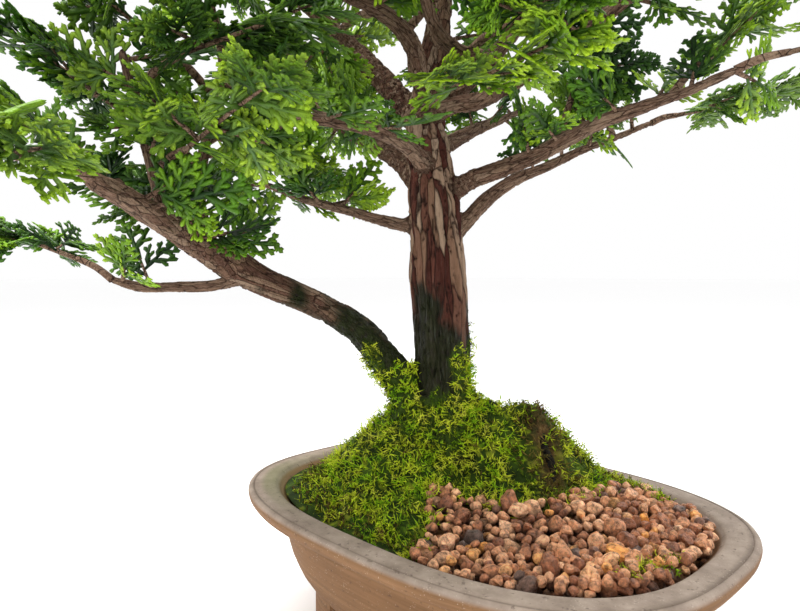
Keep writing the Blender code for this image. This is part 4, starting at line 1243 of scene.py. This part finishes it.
def make_gravel(mat):
    """Loose grains dropped one by one on the bed, each at rest on those below it."""
    rng = np.random.default_rng(SEED + 1)
    large, small = [(faces, [grain_form(ball, rng) for _ in range(GRAIN_FORMS)])
                    for ball, faces in (icosphere(3), icosphere(2))]
    heap = Heap()
    reach = POT_LENGTH / 2 - LIP_WIDTH
    plans = rng.uniform((GRAIN_FIRST_X, -reach), (reach, reach), (GRAIN_TRIES, 2))
    sizes = rng.choice(GRAIN_RADII, GRAIN_TRIES, p=GRAIN_SHARES) * rng.uniform(*GRAIN_SPREAD, GRAIN_TRIES)
    free = clear_of_wall(plans, GRAIN_GAP + 0.9 * sizes) & (edge_distance(plans) < 0.5)
    plans, sizes = plans[free], sizes[free]
    beds = ground_at(plans)
    heaped = END_HEAP * rise(plans[:, 0], END_START, reach - END_START)
    placed = np.zeros((len(plans), 4))
    count = 0
    for plan, radius, bed, more in zip(plans, sizes, beds, heaped):
        up = bed - GRAIN_SINK + radius * 0.7
        flat = np.hypot(placed[:count, 0] - plan[0], placed[:count, 1] - plan[1])
        touch = (placed[:count, 3] + radius) * GRAIN_TOUCH
        near = flat < touch
        if near.any():
            up = max(up, (placed[:count][near, 2] + np.sqrt(touch[near] ** 2 - flat[near] ** 2)).max())
        if up > bed + GRAIN_STACK + more or count == GRAIN_COUNT:
            continue
        placed[count] = (*plan, up, radius)
        count += 1
        turn = np.array(Matrix.Rotation(rng.uniform(0, 2 * math.pi), 3, Vector(rng.normal(size=3))))
        faces, forms = large if radius > GRAIN_FINE else small
        form = forms[rng.integers(GRAIN_FORMS)] @ turn.T
        # The top value paints shade under each grain and on grains lying low, and light on the grains' tops
        heap.add(form * radius * GRAIN_SWELL + np.array([*plan, up]), (), faces, kind=rng.random(),
                 top=np.clip(0.52 + 0.36 * form[:, 2] + 0.07 * (up - bed), 0, 1))
    dress(heap.build("gravel_grains", mat, smooth=False), "gravel", "gravel")


def tube_rows(path, ways):
    """Rows of points round a path of (place, radius), with frames carried along it."""
    places = np.array([p for p, _ in path])
    heading = unit(np.gradient(places, axis=0))
    side = np.cross(heading[0], (0.3, 0.2, 1.0) if abs(heading[0][2]) < 0.8 else (1.0, 0.0, 0.0))
    side /= np.linalg.norm(side)
    turn = 2 * np.pi * np.arange(ways) / ways
    rows, frames = [], []
    for h, p, (_, radius) in zip(heading, places, path):
        side = side - h * (side @ h)
        side /= np.linalg.norm(side)
        other = np.cross(h, side)
        frames.append((side, other, h))
        rows.append(p + radius * (np.cos(turn)[:, None] * side + np.sin(turn)[:, None] * other))
    return np.concatenate(rows), frames


def add_rows(heap, points, ways, ends, **values):
    """Add rows of points round a form, closed at each end by a point in its middle."""
    here = np.arange(ways)
    there = (here + 1) % ways
    top = len(points) - ways
    first = np.column_stack([there, here, np.full(ways, len(points))])
    last = np.column_stack([top + here, top + there, np.full(ways, len(points) + 1)])
    heap.add(np.concatenate([points, np.array(ends)]), ring_quads(len(points) // ways, ways),
             np.concatenate([first, last]), **values)


def dense_path(name):
    """A limb's middle line at an even spacing."""
    points = [(tree_to_pot(*point[:3]), point[3]) for point in LIMBS[name]]
    fine = smoothed(points, 12)
    length = sum((b[0] - a[0]).length for a, b in zip(fine, fine[1:]))
    count = max(int(length / RING_STEP), 4)
    return [point_on(fine, i / count)[:2] for i in range(count + 1)]


def add_tube(heap, path, ways, **values):
    """Add a closed tube along a path, with a small dome at its tip."""
    end, radius = path[-1]
    ahead = (end - path[-2][0]).normalized()
    path = list(path) + [(end + ahead * radius * out, radius * share) for out, share in TIP_DOME]
    add_rows(heap, tube_rows(path, ways)[0], ways, (path[0][0], path[-1][0]), **values)


def keep_grain(heap, name, mat):
    """The gathered tubes as one object, whose bark pattern follows its points' places."""
    obj = heap.build(name, mat)
    keep_values(obj.data, {"grain": np.concatenate(heap.points)})
    return obj


def bark_finish():
    """Red-brown bark in long peeling plates, wet and black at the foot with bluish streaks painted in for
    its sheen, and with moss creeping up.
    """
    bark = Finish("bark", roughness=0.8, specular=0.1)
    grain = bark.bent(bark.attribute("grain", "Vector"), 0.2, (3.0, 3.0, 0.7))
    fibre = bark.noise(0.75, 6, 0.75, where=grain, bend=0.4)
    fine = bark.noise(2.8, 5, 0.75, where=grain, bend=0.3)
    tone = bark.cells(PLATE_SCALE, "F1", grain, "Color")
    edge = bark.cells(PLATE_SCALE, "DISTANCE_TO_EDGE", grain)
    base = bark.ramp(tone, ((0.22, (0.090, 0.028, 0.020)), (0.38, (0.150, 0.052, 0.036)),
                            (0.46, (0.200, 0.092, 0.060)), (0.55, (0.300, 0.170, 0.108)),
                            (0.66, (0.380, 0.240, 0.160)), (0.80, (0.470, 0.330, 0.230))))
    young = bark.ramp(fibre, ((0.25, (0.150, 0.090, 0.058)), (0.5, (0.340, 0.215, 0.145)),
                              (0.75, (0.540, 0.390, 0.280))))
    base = bark.mix(bark.math("MULTIPLY", bark.attribute("young"), 0.7), base, young)
    streak = bark.ramp(fibre, ((0.30, 0.30), (0.45, 0.80), (0.55, 1.05), (0.72, 1.50)))
    base = bark.tint(base, streak)
    line = bark.ramp(edge, ((0.0, 1.0), (0.02, 0.8), (0.06, 0.0)))
    base = bark.mix(bark.math("MULTIPLY", line, 0.8), base, (0.030, 0.013, 0.009))
    base = bark.mix(bark.attribute("crack"), base, (0.020, 0.010, 0.008))
    stain = bark.math("ADD", bark.attribute("wet"), bark.math("MULTIPLY", fibre, 0.9))
    wet = bark.ramp(stain, ((0.42, 0.0), (0.70, 0.45), (0.95, 0.85), (1.0, 0.97)))
    # The wet foot's colour: real black wet bark, with bluish grey streaks that are a painted highlight for
    # its sheen
    damp_and_painted_light = bark.ramp(fibre, ((0.3, (0.003, 0.003, 0.003)), (0.5, (0.014, 0.011, 0.009)),
                             (0.62, (0.040, 0.040, 0.034)), (0.8, (0.100, 0.125, 0.125))))
    base = bark.mix(wet, base, damp_and_painted_light)
    film = bark.ramp(bark.noise(260, 5, 0.7), ((0.34, 0.0), (0.48, 1.0)))
    film = bark.math("MULTIPLY", film, bark.attribute("mossy"))
    base = bark.mix(film, base, (0.060, 0.105, 0.014))
    bark.colour(base)
    bark.roughness(bark.ramp(wet, ((0.0, 0.82), (1.0, 0.5))))
    plate = bark.ramp(edge, ((0.0, 0.0), (0.06, 0.8), (0.3, 1.0)))
    relief = bark.math("ADD", plate, bark.math("ADD", fibre, bark.math("MULTIPLY", fine, 0.5)))
    bark.bump(relief, 0.0016, 1.0)
    return bark.mat


def root_base():
    """Rows of points round the fluted, half-buried base that both trunks leave."""
    turn = 2 * np.pi * np.arange(ROOT_WAYS) / ROOT_WAYS
    flute = 1 + FLUTE_DEPTH * np.cos(ROOT_FLUTES * turn)
    rows = []
    for up, wide, deep, middle in ROOT_BASE + (ROOT_TOP,):
        across = middle + wide * flute * np.cos(turn)
        back = ROOT_BACK + deep * flute * np.sin(turn)
        rows.append([tree_to_pot(a, b, up) for a, b in zip(across, back)])
    return np.array(rows)


def make_wood(mat):
    """Both trunks and all limbs as one skin, blended at the forks, then carved into bark."""
    heap = Heap()
    lines = {name: dense_path(name) for name in LIMBS}
    for name, path in lines.items():
        add_tube(heap, path, TRUNK_WAYS if "trunk" in name else LIMB_WAYS)
    base = root_base()
    add_rows(heap, base.reshape(-1, 3), ROOT_WAYS, (base[0].mean(0), base[-1].mean(0)))
    wood = heap.build("wood_bark", mat)
    step = wood.modifiers.new("skin", "REMESH")
    step.mode = "VOXEL"
    step.voxel_size = BARK_CELL * MM
    step = wood.modifiers.new("ease", "SMOOTH")
    step.factor = BARK_EASE
    step.iterations = BARK_EASE_STEPS
    bake_modifiers(wood)
    carve(wood, lines)
    dress(wood, "bark", "wood")
    return wood


def nearest_line(points, lines):
    """For each point, its place round and along the limb whose skin is nearest, and that limb's radius."""
    spots, radii, alongs, frames, owners = [], [], [], [], []
    for owner, path in enumerate(lines.values()):
        length = 0.0
        before = path[0][0]
        for (spot, radius), axes in zip(path, tube_rows(path, 3)[1]):
            length += (spot - before).length
            before = spot
            spots.append(spot)
            radii.append(radius)
            alongs.append(length)
            frames.append(axes)
            owners.append(owner)
    spots, radii = np.array(spots, np.float32), np.array(radii, np.float32)
    found = np.zeros(len(points), int)
    for low in range(0, len(points), NEAREST_BATCH):
        part = points[low:low + NEAREST_BATCH].astype(np.float32)
        gap = np.linalg.norm(part[:, None] - spots[None], axis=2) - radii[None]
        found[low:low + NEAREST_BATCH] = gap.argmin(1)
    local = np.einsum("ni,nki->nk", points - spots[found], np.array(frames)[found])
    local[:, 2] += np.array(alongs)[found]
    return local, radii[found], np.array(owners)[found]


def bark_push(points, stretched, size, trunk, second):
    """How far each point of the skin moves out: plates, cracks, fibres, lumps and a knob."""
    plate = rise(noise_at(stretched, *PLATE_NOISE), *PLATE_EDGE)
    crack = np.exp(-(noise_at(stretched, *CRACK_NOISE) / CRACK_WIDTH) ** 2)
    fibres = noise_at(stretched, *FIBRE_NOISE)
    push = PLATE_RISE * plate - CRACK_DEPTH * crack + FIBRE_DEPTH * fibres - BARK_SHRINK
    push -= np.where(trunk | second, 0.0, LIMB_SHRINK)
    push = push * size + noise_at(points, *BARK_LUMP_NOISE) * np.where(trunk | second, 1.1, 0.9) * size
    knob = np.linalg.norm(points - np.array(tree_to_pot(*KNOB)), axis=1) / KNOB_SIZE
    push += second * (SECOND_SWELL + KNOB_HEIGHT * np.exp(-knob ** 2))
    push[points[:, 2] < BURIED_BELOW] = 0
    return push, crack


def bark_values(points, radius, trunk, second):
    """Where the bark is wet, mossy and young."""
    up = points[:, 2]
    right = rise(points @ np.array(tree_axis(0)), *RIGHT_SIDE)
    patch = noise_at(points * np.array([1, 1, 0.6]), *WET_NOISE)
    wet = rise(WET_HEIGHT - 13 * right + 26 * patch, up, 26) * trunk
    shade = rise(WET_HEIGHT + 26 * patch, up, 30) * second
    mossy = rise(FILM_HEIGHT + 26 * right * trunk + 21 * second + 24 * patch, up, 10)
    return {"wet": np.maximum(wet, shade * 0.75), "mossy": np.maximum(mossy, 0.26 * shade + 0.14 * wet),
            "young": np.clip((YOUNG_RADIUS - radius) / 5, 0, 1)}


def carve(wood, lines):
    """Cut bark plates and cracks into the skin, and keep on its points what the finish reads."""
    points, normals = skin_points(wood)
    local, radius, owner = nearest_line(points, lines)
    trunk, second = [owner == list(lines).index(name) for name in ("trunk", "left_trunk")]
    size = np.clip(radius / FULL_RADIUS, 0.25, 1.0)
    stretched = local * np.array([1, 1, PLATE_STRETCH]) + owner[:, None] * LIMB_SHIFT
    stretched /= np.maximum(size, 0.4)[:, None]
    push, crack = bark_push(points, stretched, size, trunk, second)
    points = points + normals * push[:, None]
    wood.data.vertices.foreach_set("co", metres(points).ravel())
    keep_values(wood.data, {"crack": crack * (0.35 + 0.6 * size), "grain": stretched,
                            **bark_values(points, radius, trunk, second)})
    wood.data.update()


def tree_axis(which):
    """The tree frame's across, back or up direction in the pot's frame."""
    basis = np.eye(3)[which]
    return tree_to_pot(*basis) - tree_to_pot(0, 0, 0)


def fan_variant(rng):
    """One fine fan of scale-leaved branchlets, one unit long: points, faces, and each point's youth."""
    points, quads, tris, youth = [], [], [], []

    def strip(foot, aim, length, width, young, curl, bits):
        """A flat branchlet with scalloped sides and a round tip; returns its middle line."""
        line = []
        at, angle = np.array(foot, float), aim
        for i in range(bits + 1):
            line.append((at.copy(), angle))
            at = at + np.array([math.cos(angle), math.sin(angle)]) * length / bits
            angle += curl / bits
        start = len(points)
        for i, (spot, angle) in enumerate(line):
            share = i / bits
            half = width * ((0.6, 1.15)[i % 2] if i < bits else 0.85)
            out = np.array([-math.sin(angle), math.cos(angle)])
            for across, up in ((half, 0), (0, width * 0.5), (-half, 0)):
                points.append((*(spot + out * across), up))
                youth.append(young + (1 - young) * share * share * 0.6)
        end, angle = line[-1]
        tip = end + np.array([math.cos(angle), math.sin(angle)]) * width * 0.9
        points.append((*tip, width * 0.15))
        youth.append(min(1, young + (1 - young) * 0.75))
        for low in range(start, start + 3 * bits, 3):
            for a, b in ((0, 1), (1, 2), (2, 0)):
                quads.append((low + a, low + 3 + a, low + 3 + b, low + b))
        last, top = start + 3 * bits, len(points) - 1
        tris.extend([(last, top, last + 1), (last + 1, top, last + 2), (last + 2, top, last),
                     (start, start + 1, start + 2)])
        return line

    main = strip((0, 0), 0, MAIN_LENGTH, MAIN_WIDTH, 0.0, rng.uniform(-0.3, 0.3), MAIN_BITS)
    for k in range(FAN_SIDES):
        share = 0.14 + 0.78 * k / (FAN_SIDES - 1)
        sign = 1 if k % 2 else -1
        step = min(int(share * MAIN_BITS), MAIN_BITS - 1)
        spot, angle = main[step]
        spot = spot + (main[step + 1][0] - spot) * (share * MAIN_BITS - step)
        length = (0.50 - 0.33 * share) * rng.uniform(0.85, 1.15)
        aim = angle + sign * rng.uniform(0.75, 0.95)
        curl = -sign * rng.uniform(0.2, 0.5)
        line = strip(spot, aim, length, SIDE_WIDTH, 0.25 + 0.3 * share, curl, SIDE_BITS)
        for j in range(2):
            spot, angle = line[1 + j]
            turn = sign if (j + k) % 2 else -sign
            strip(spot, angle + turn * rng.uniform(0.6, 0.85), length * (0.36 - 0.06 * j),
                  LEAFLET_WIDTH, 0.5 + 0.25 * share, 0.0, 1)
    points = np.array(points)
    points[:, 2] -= FAN_CUPS[1] * points[:, 1] ** 2 + FAN_CUPS[0] * points[:, 0] ** 2
    return points, np.array(quads), np.array(tris), np.clip(np.array(youth), 0, 1)


def foliage_finish():
    """Hinoki scale leaves: blue-green inside, lime at the young tips, with a soft sheen."""
    leaf = Finish("foliage", roughness=0.5, specular=0.25)
    shade = leaf.attribute("shade")
    young = leaf.attribute("young")
    old = leaf.ramp(shade, ((0.0, (0.008, 0.030, 0.006)), (0.25, (0.016, 0.052, 0.007)),
                            (0.6, (0.036, 0.098, 0.010)), (0.85, (0.076, 0.160, 0.016)),
                            (1.0, (0.090, 0.178, 0.050))))
    lime = leaf.ramp(shade, ((0.0, (0.060, 0.180, 0.008)), (0.5, (0.190, 0.380, 0.010)),
                             (1.0, (0.430, 0.650, 0.022))))
    share = leaf.ramp(young, ((0.15, 0.0), (0.75, 1.0)))
    base = leaf.mix(share, old, lime)
    scale = leaf.ramp(leaf.cells(1100), ((0.0, 0.72), (0.5, 1.12)))
    base = leaf.mix(0.7, base, scale, "MULTIPLY")
    leaf.colour(base)
    leaf.bump(leaf.cells(1100), 0.0003, 0.5)
    leaf.glow_through(base, 0.1)
    return leaf.mat


def fan_basis(direction, normal):
    """Rows are a fan's own axes: along, across, off its face."""
    return np.stack([direction, np.cross(normal, direction), normal])


def turned(vector, axis, degrees):
    """A vector turned about an axis."""
    return Matrix.Rotation(math.radians(degrees), 3, axis) @ vector


class Tuft:
    """Fine fans gathered for one piece, which share a tone and a liveliness."""

    low, high = [(np.array(corner) - np.array(POT_CENTRE)) / MM for corner in CAD_BOX]

    def __init__(self, variants, rng):
        self.heap = Heap()
        self.variants = variants
        self.rng = rng
        self.renew()

    def renew(self):
        """Take another tone and liveliness."""
        self.tone = self.rng.uniform(0.1, 0.9)
        self.lively = self.rng.uniform(0.15, 1.0)

    def fan(self, at, aim, face, length, young):
        """Set one fine fan, kept inside the CAD box."""
        rng = self.rng
        aim = Vector(aim).normalized()
        face = (face - aim * face.dot(aim)).normalized()
        points, quads, tris, youth = rng.choice(self.variants)
        flip = rng.choice((1, -1))
        if flip < 0:
            quads = quads[:, ::-1]
            tris = tris[:, ::-1]
        shaped = (points * np.array([1, flip, 1]) * length) @ fan_basis(aim, face) + np.array(at)
        shaped += np.maximum(self.low + BOX_GAP - shaped.min(0), 0)
        shaped -= np.maximum(shaped.max(0) - (self.high - BOX_GAP), 0)
        shade = min(max(self.tone + rng.uniform(-0.35, 0.35), 0), 1)
        young = np.clip(youth * (0.3 + self.lively * young), 0, 1)
        self.heap.add(shaped, quads, tris, shade=shade, young=young)


def make_foliage(mat, sprays, variants, twigs):
    """For each CAD spray, one piece of fine fans set along the same fans' ribs and stem, in layers."""
    rng = random.Random(SEED + 2)
    for name, _, foot, heading, normal, fans in sprays:
        tuft = Tuft(variants, rng)
        twigs.append([(foot, SPRAY_RADIUS), (foot + heading * SPRAY_STEM, SPRAY_RADIUS * 0.7)])
        for start, direction, face, length in fans:
            twigs.append([(start + direction * length * share, radius) for share, radius in FAN_RIB])
            for layer, (lift, shares) in enumerate(FAN_LAYERS):
                for k, share in enumerate(shares):
                    last = share == shares[-1]
                    sign = 1 if (k + layer) % 2 else -1
                    at = start + direction * length * share + face * lift * 0.4
                    swing = rng.uniform(-12, 12) if last else sign * rng.uniform(34, 62)
                    aim = turned(direction, face, swing)
                    aim = aim + face * (lift * 0.055 + rng.uniform(-0.2, 0.2))
                    tilt = turned(face, direction, rng.uniform(-FINE_TILT, FINE_TILT))
                    reach = length * (LAST_FAN_SHARE if last else FINE_FAN_SHARE * (1 - 0.4 * share))
                    tuft.fan(at, aim, tilt, reach * rng.uniform(0.88, 1.12), rng.uniform(0.3, 1.1))
        for k in range(STEM_FANS):
            share = (k + 0.6) / STEM_FANS
            at = foot + heading * SPRAY_STEM * share
            aim = turned(heading, normal, rng.uniform(-75, 75)) + normal * rng.uniform(-0.5, 0.7)
            tilt = turned(normal, heading, rng.uniform(-50, 50))
            tuft.fan(at, aim, tilt, FAN_LENGTH * rng.uniform(0.42, 0.58), rng.uniform(0.2, 0.9))
        dress(tuft.heap.build(f"{name}_fans", mat), "foliage", name)


def make_shoots(mat, variants, twigs):
    """Short leafy shoots straight off the limbs, in one piece for each side of the tree."""
    rng = random.Random(SEED + 3)
    sides = {"shoots_left": Tuft(variants, rng), "shoots_right": Tuft(variants, rng)}
    for name, (count, first) in SHOOTS.items():
        path = limb_path(name)
        for k in range(count):
            place, radius, heading = point_on(path, first + (1 - first) * (k + rng.random()) / count)
            aim = Vector((rng.gauss(0, 1), rng.gauss(0, 1), rng.gauss(0.6, 0.6)))
            aim = (aim - heading * aim.dot(heading) * 0.7).normalized()
            stem = rng.uniform(*SHOOT_STEM)
            end = place + aim * (radius * 0.8 + stem)
            tip = end + aim * SHOOT_REACH
            if min(end.z, tip.z) < clear_height(end) + SHOOT_CLEAR:
                continue
            tuft = sides["shoots_left" if Vector(tree_axis(0)).dot(place) < TREE_MIDDLE else "shoots_right"]
            tuft.renew()
            twigs.append(list(zip((place + aim * radius * 0.5, (place + end) / 2, end), SHOOT_RADII)))
            face = Vector([rng.uniform(-1, 1) for _ in range(3)]).cross(aim).normalized()
            for swing, at, length in SHOOT_FANS:
                spot = place.lerp(end, at)
                way = turned(aim, face, swing + rng.uniform(-12, 12))
                tilt = turned(face, aim, rng.uniform(-40, 40))
                tuft.fan(spot, way, tilt, length * rng.uniform(0.85, 1.15), rng.uniform(0.5, 1.2))
    for name, tuft in sides.items():
        dress(tuft.heap.build(name, mat), "foliage", "wood")


def make_twigs(mat, sprays, ribs):
    """Every twig, spray stem and rib as slim bark-clad tubes."""
    heap = Heap()
    lines = [(smoothed(twig, 5), TWIG_WAYS) for _, twig, *_ in sprays]
    lines += [(smoothed(rib, 2), RIB_WAYS) for rib in ribs]
    for line, ways in lines:
        add_tube(heap, line, ways, crack=0.0, wet=0.0, mossy=0.0, young=1.0)
    dress(keep_grain(heap, "twigs", mat), "bark", "wood")


def soil_finish():
    """Damp soil, seen only through the drain holes."""
    soil = Finish("soil", roughness=0.95, specular=0.2)
    soil.colour(soil.ramp(soil.noise(420, 5), ((0.3, (0.03, 0.018, 0.012)), (0.7, (0.12, 0.07, 0.045)))))
    soil.bump(soil.noise(900), 0.001, 0.8)
    return soil.mat


def screen_finish():
    """Matt black plastic mesh."""
    screen = Finish("screen_mesh", roughness=0.55, specular=0.4)
    screen.colour(screen.ramp(screen.noise(500, 3), ((0.3, 0.018), (0.7, 0.045))))
    screen.bump(screen.noise(2200, 2), 0.0002, 0.3)
    return screen.mat


def repaint(node, mat):
    """Give a CAD node that stays a better finish."""
    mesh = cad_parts[node].data
    mesh.materials.clear()
    mesh.materials.append(mat)


def make_stage():
    """A wide, pale, flat floor just under the feet."""
    white = Finish("stage_white", roughness=0.9, specular=0.1)
    white.colour(FLOOR_WHITE)
    floor = bpy.data.meshes.new("stage_floor")
    bm = bmesh.new()
    bmesh.ops.create_grid(bm, x_segments=1, y_segments=1, size=FLOOR_SIZE)
    bm.to_mesh(floor)
    bm.free()
    floor.materials.append(white.mat)
    obj = add_object("stage_floor", floor)
    obj.location.z = -FLOOR_DROP


def area_light(name, location, size, power, colour):
    """A soft square lamp that points at the object."""
    lamp = bpy.data.lights.new(name, "AREA")
    lamp.size = size
    lamp.energy = power
    lamp.color = colour
    obj = add_object(name, lamp)
    obj.location = location
    obj.rotation_euler = (Vector(LIGHT_AIM) - Vector(location)).to_track_quat("-Z", "Y").to_euler()


def make_light():
    """Plain soft studio light: a bright even surround, and a broad lamp above the front and the back."""
    world = bpy.data.worlds.new("studio")
    world.use_nodes = True
    sky = world.node_tree.nodes["Background"]
    sky.inputs["Color"].default_value = (1.0, 1.0, 1.0, 1)
    sky.inputs["Strength"].default_value = WORLD_STRENGTH
    scene = bpy.context.scene
    scene.world = world
    scene.view_settings.view_transform = "Standard"
    scene.view_settings.look = "None"
    for lamp in LAMPS:
        area_light(*lamp)


def make_camera():
    """The photograph's camera, fitted to the curves of the pot's rim."""
    data = bpy.data.cameras.new("camera")
    data.sensor_width = SENSOR_WIDTH
    data.lens = FOCAL_PIXELS / IMAGE_WIDTH * SENSOR_WIDTH
    data.clip_start = CAMERA_NEAR
    camera = add_object("camera", data)
    camera.location = place(tree_to_pot(-CAMERA_LEFT, -CAMERA_BACK, POT_HEIGHT + CAMERA_ABOVE_RIM))
    camera.rotation_euler = (math.radians(90 - CAMERA_PITCH), 0, math.radians(TREE_TURN))
    bpy.context.scene.camera = camera


def main():
    """Make every piece, the stage, the light and the camera."""
    make_camera()
    make_light()
    make_stage()
    sprays = grow_sprays()
    make_pot()
    moss = moss_finish()
    make_moss(moss)
    bark = bark_finish()
    wood = make_wood(bark)
    make_moss_strands(moss, wood)
    make_old_root(bark)
    make_gravel(gravel_finish())
    rng = random.Random(SEED + 3)
    variants = [fan_variant(rng) for _ in range(FAN_VARIANTS)]
    ribs = []
    foliage = foliage_finish()
    make_foliage(foliage, sprays, variants, ribs)
    make_shoots(foliage, variants, ribs)
    make_twigs(bark, sprays, ribs)
    repaint("soil", soil_finish())
    for node in ("drain_screen_left", "drain_screen_right"):
        repaint(node, screen_finish())


main()
